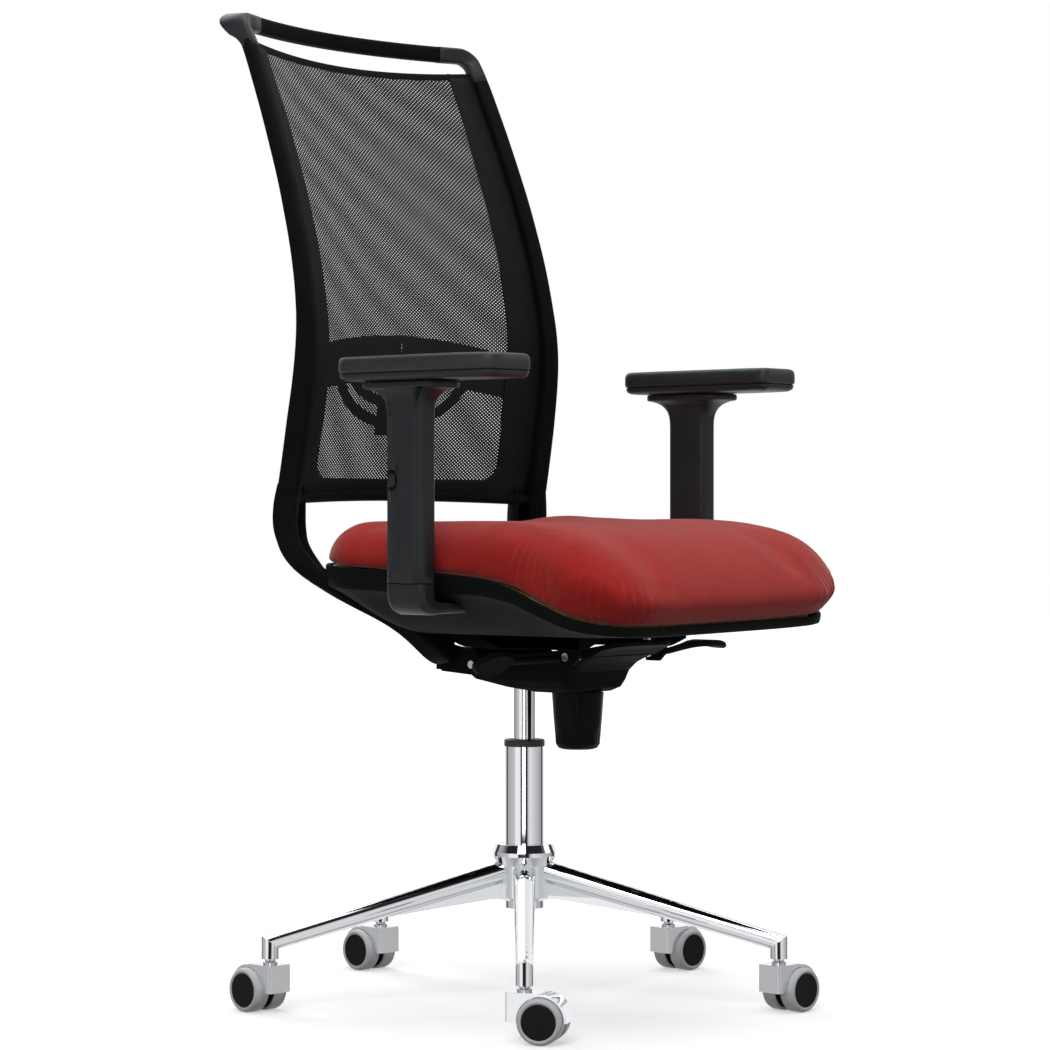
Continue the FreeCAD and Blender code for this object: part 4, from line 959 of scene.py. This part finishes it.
def makeBorders(looks):
    # edging sewn round the net: two upright bands, the bottom band with its rounded corners, and the hem
    shape = netShape
    low, bottom, inset = shape["windowBottom"], shape["bandBottom"], shape["bandInset"]
    radius = shape["cornerRadius"]
    high = shape["top"] - 3
    outer = []
    inner = []
    for step in range(41):
        z = high - step / 40 * (high - (low + radius))
        inner.append((-windowHalf(z), z))
        outer.append((-(backHalf(z) - inset), z))
    cornerX = windowHalf(low)
    for step in range(1, 9):
        share = step / 8
        angle = math.pi / 2 * share
        inner.append((-cornerX + radius * (1 - math.cos(angle)), low + radius - radius * math.sin(angle)))
        outer.append((-(backHalf(low) - inset) + share * 6, low + radius - share * (low + radius - bottom)))
    for step in range(1, 21):
        share = step / 20
        inner.append((-(cornerX - radius) * (1 - share), low))
        outer.append((-(backHalf(low) - inset - 6) * (1 - share), bottom + 3 * share))
    inner = inner + [(-x, z) for x, z in inner[:-1]][::-1]
    outer = outer + [(-x, z) for x, z in outer[:-1]][::-1]
    rings = []
    for part in range(7):
        share = part / 6
        ring = []
        for (xi, zi), (xo, zo) in zip(inner, outer):
            x = xi + (xo - xi) * share
            z = zi + (zo - zi) * share
            ring.append((x, backY(x, z) - 1.2, z))
        rings.append(ring)
    surface("netEdging", rings, looks["border"], "back", closed=False, thick=1.2)
    hem = []
    for step in range(61):
        x = (-1 + step / 30) * (backHalf(1215) - inset)
        z = hemZ(x) - shape["hem"] / 2 + 1
        hem.append((x, backY(x, z) - 0.4, z))
    rings = sweepLevel(hem, [roundedSection(shape["hem"], 3.4, 1.6)] * len(hem))
    surface("netHem", rings, looks["border"], "back", caps=(True, True))


armShape = {
    "x": 277.0, "y": -56.0, "deep": 60.0, "wide": 28.0, "round": 8.5, "joint": 532.2,
    "crease": 1.2, "belly": 0.9,
    # the column under its plate, then the flare and the plate: height, growth in width and in depth
    "column": [560, 620, 680, 730],
    "flare": [(738, 0.1, 0.4), (744, 0.4, 1.6), (750, 1.1, 4.2), (755, 2.6, 8.6), (759, 4.8, 14.0),
              (762, 7.6, 20.0), (764, 11.0, 26.0), (764.6, 14.2, 29.6), (766, 15.0, 31.0),
              (770.5, 15.0, 31.0), (772.4, 14.2, 30.2), (773, 12.5, 28.5)],
    # the elbow's middle line (x, z) and its thickness at those points
    "elbow": [(277, 531.6), (277, 522), (274.5, 511), (265, 504.5), (250, 503), (190, 503), (112, 503)],
    "elbowThick": [28.0, 28.0, 26.0, 20.0, 14.0, 12.0, 12.0],
}


def armRing(z, growX, growY, radius, sign, crease=0.0):
    # rounded bar, slightly convex outside; the rear third of its outer face steps in by the crease
    half = armShape["wide"] / 2 + growX
    deep = armShape["deep"] / 2 + growY
    belly = armShape["belly"] if growY < 20 else 0.0
    face = []
    for share in (-0.72, -0.45, -0.2, 0.02, 0.16, 0.20, 0.24, 0.40, 0.60, 0.72):
        step = crease if share >= 0.22 else 0.0
        face.append((half + belly * (1 - share * share) - step, share * deep))
    # the outer face's points go between the last corner and the first one
    ring = roundedSection(2 * half, 2 * deep, radius, 6)
    ring = ring[-7:] + face + ring[:-7]
    return [(sign * (armShape["x"] + a), armShape["y"] + b, z) for a, b in ring]


def makeArm(looks, sign):
    shape = armShape
    label = sideName(sign)
    side = label.lower()
    crease, radius = shape["crease"], shape["round"]
    rings = [armRing(shape["joint"] + 0.4, -1.2, -1.2, radius - 1, sign, crease),
             armRing(shape["joint"] + 1.4, 0, 0, radius, sign, crease)]
    rings += [armRing(z, 0, 0, radius, sign, crease) for z in shape["column"]]
    rings += [armRing(z, gx, gy, radius + min(gy * 0.5, 8.5), sign) for z, gx, gy in shape["flare"]]
    sleeve = surface("armSleeve" + label, rings, looks["satin"], "arm_" + side,
                     caps=(True, True))
    cutButtonRecess(sleeve, sign)
    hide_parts("arm_sleeve_" + side)
    # elbow under the sleeve, running in under the seat
    path = curveThrough(shape["elbow"], 40)
    last = len(shape["elbowThick"]) - 1
    rings = []
    for i, (x, z) in enumerate(path):
        nx, nz = path[min(i + 1, len(path) - 1)] - path[max(i - 1, 0)]
        length = math.hypot(nx, nz)
        ux, uz = -nz / length, nx / length
        t = float(np.interp(i / (len(path) - 1), [k / last for k in range(last + 1)], shape["elbowThick"]))
        section = roundedSection(t, shape["deep"] - 0.5, min(radius, t / 2 - 0.5), 6)
        rings.append([(sign * (x + ux * a), shape["y"] + b, z + uz * a) for a, b in section])
    elbow = surface("armElbow" + label, rings, looks["satin"], "seat", caps=(True, True))
    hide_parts("arm_bracket_" + side)
    makePad(looks, sign, side, label)


recessShape = {"y": -37.0, "z": 655.0, "wide": 17.0, "tall": 26.0, "deep": 9.6}


def cutButtonRecess(sleeve, sign):
    # oval well that the release button sits in
    recess = recessShape
    outside = armShape["x"] + armShape["wide"] / 2
    rings = []
    for out, grow in ((4.0, 3.0), (0.6, 1.0), (-1.2, 0.0), (-recess["deep"], -0.6)):
        ring = []
        for step in range(32):
            angle = 2 * math.pi * step / 32
            ring.append((sign * (outside + out), recess["y"] + (recess["wide"] / 2 + grow) * math.cos(angle),
                         recess["z"] + (recess["tall"] / 2 + grow) * math.sin(angle)))
        rings.append(ring)
    cutter = surface("recessCutter", rings, sleeve.data.materials[0], "base",
                     caps=(True, True))
    cut = sleeve.modifiers.new("recess", "BOOLEAN")
    cut.operation = "DIFFERENCE"
    cut.object = cutter
    cut.solver = "EXACT"
    bakeModifiers(sleeve)
    bpy.data.objects.remove(cutter)


padShape = {"length": 242.0, "width": 84.0, "middle": -88.0, "kink": 0.22, "turn": 11.0,
            "seamZ": 782.6, "topZ": 803.2,
            # heights above the seam and against the top, each with its inset
            "side": [(0.3, 3.4), (0.8, 1.2), (3.2, 0.0)],
            "shoulder": [(-8.0, 0.0), (-3.6, 1.1), (-1.3, 3.4), (-0.3, 7.0)],
            "crown": [(0.92, 0.1), (0.78, 0.5), (0.6, 0.9), (0.4, 1.2), (0.2, 1.4)],
            "base": [(773.7, 14.0), (774.3, 8.0), (776.8, 3.0), (781.4, 1.2), (782.4, 2.2), (782.9, 5.0)]}


def padRing(grow, z, sign):
    # plan of the pad: long bar, rounded ends, the front fifth turned inwards
    pad = padShape
    rear = pad["middle"] + pad["length"] / 2
    front = pad["middle"] - pad["length"] / 2
    kink = front + pad["length"] * pad["kink"]
    half = pad["width"] / 2
    corners = [(half, rear, 22), (-half, rear, 22), (-half, kink, 60), (-half - 5, front, 15),
               (half - pad["turn"] - 4, front, 17), (half, kink, 50)]
    ring = []
    count = len(corners)
    for i, (x, y, radius) in enumerate(corners):
        p = Vector((x, y))
        a = Vector(corners[i - 1][:2]) - p
        b = Vector(corners[(i + 1) % count][:2]) - p
        reach = min(radius, 0.45 * min(a.length, b.length))
        a, b = a.normalized(), b.normalized()
        for step in range(9):
            t = step / 8
            q = (p + a * reach) * (1 - t) ** 2 + p * 2 * t * (1 - t) + (p + b * reach) * t ** 2
            ring.append(q)
    out = []
    for i, q in enumerate(ring):
        tangent = (ring[(i + 1) % len(ring)] - ring[i - 1]).normalized()
        normal = Vector((tangent.y, -tangent.x))
        q = q + normal * grow
        out.append((sign * (armShape["x"] + q.x), q.y, z))
    return out


def makePad(looks, sign, side, label):
    pad = padShape
    rings = [padRing(-inset, pad["seamZ"] + up, sign) for up, inset in pad["side"]]
    rings += [padRing(-inset, pad["topZ"] + up, sign) for up, inset in pad["shoulder"]]
    rim = rings[-1]
    middleX, middleY = sign * (armShape["x"] - 5), pad["middle"]
    for share, lift in pad["crown"]:
        level = pad["topZ"] - 0.2 + lift
        rings.append([(middleX + (x - middleX) * share, middleY + (y - middleY) * share, level)
                      for x, y, z in rim])
    top = surface("armPad" + label, rings, looks["pad"], "pad_" + side, caps=(True, True))
    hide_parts("arm_pad_" + side)
    rings = [padRing(-inset, z, sign) for z, inset in pad["base"]]
    base = surface("padBase" + label, rings, looks["satin"], "pad_" + side,
                   caps=(True, True))
    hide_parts("arm_pad_base_" + side)


makeCamera()
makeStage()
looks = makeMaterials()
dressNodes(looks)
print("frame dressed")
makeCushion(looks)
makeShell(looks)
makeSkirt(looks)
makeTiltLever(looks)
print("seat made")
makeUprights(looks)
makeYoke(looks)
makeHandle(looks)
makeNet(looks)
makeBorders(looks)
print("back made")
for sign in (-1, 1):
    makeArm(looks, sign)
print("arms made")
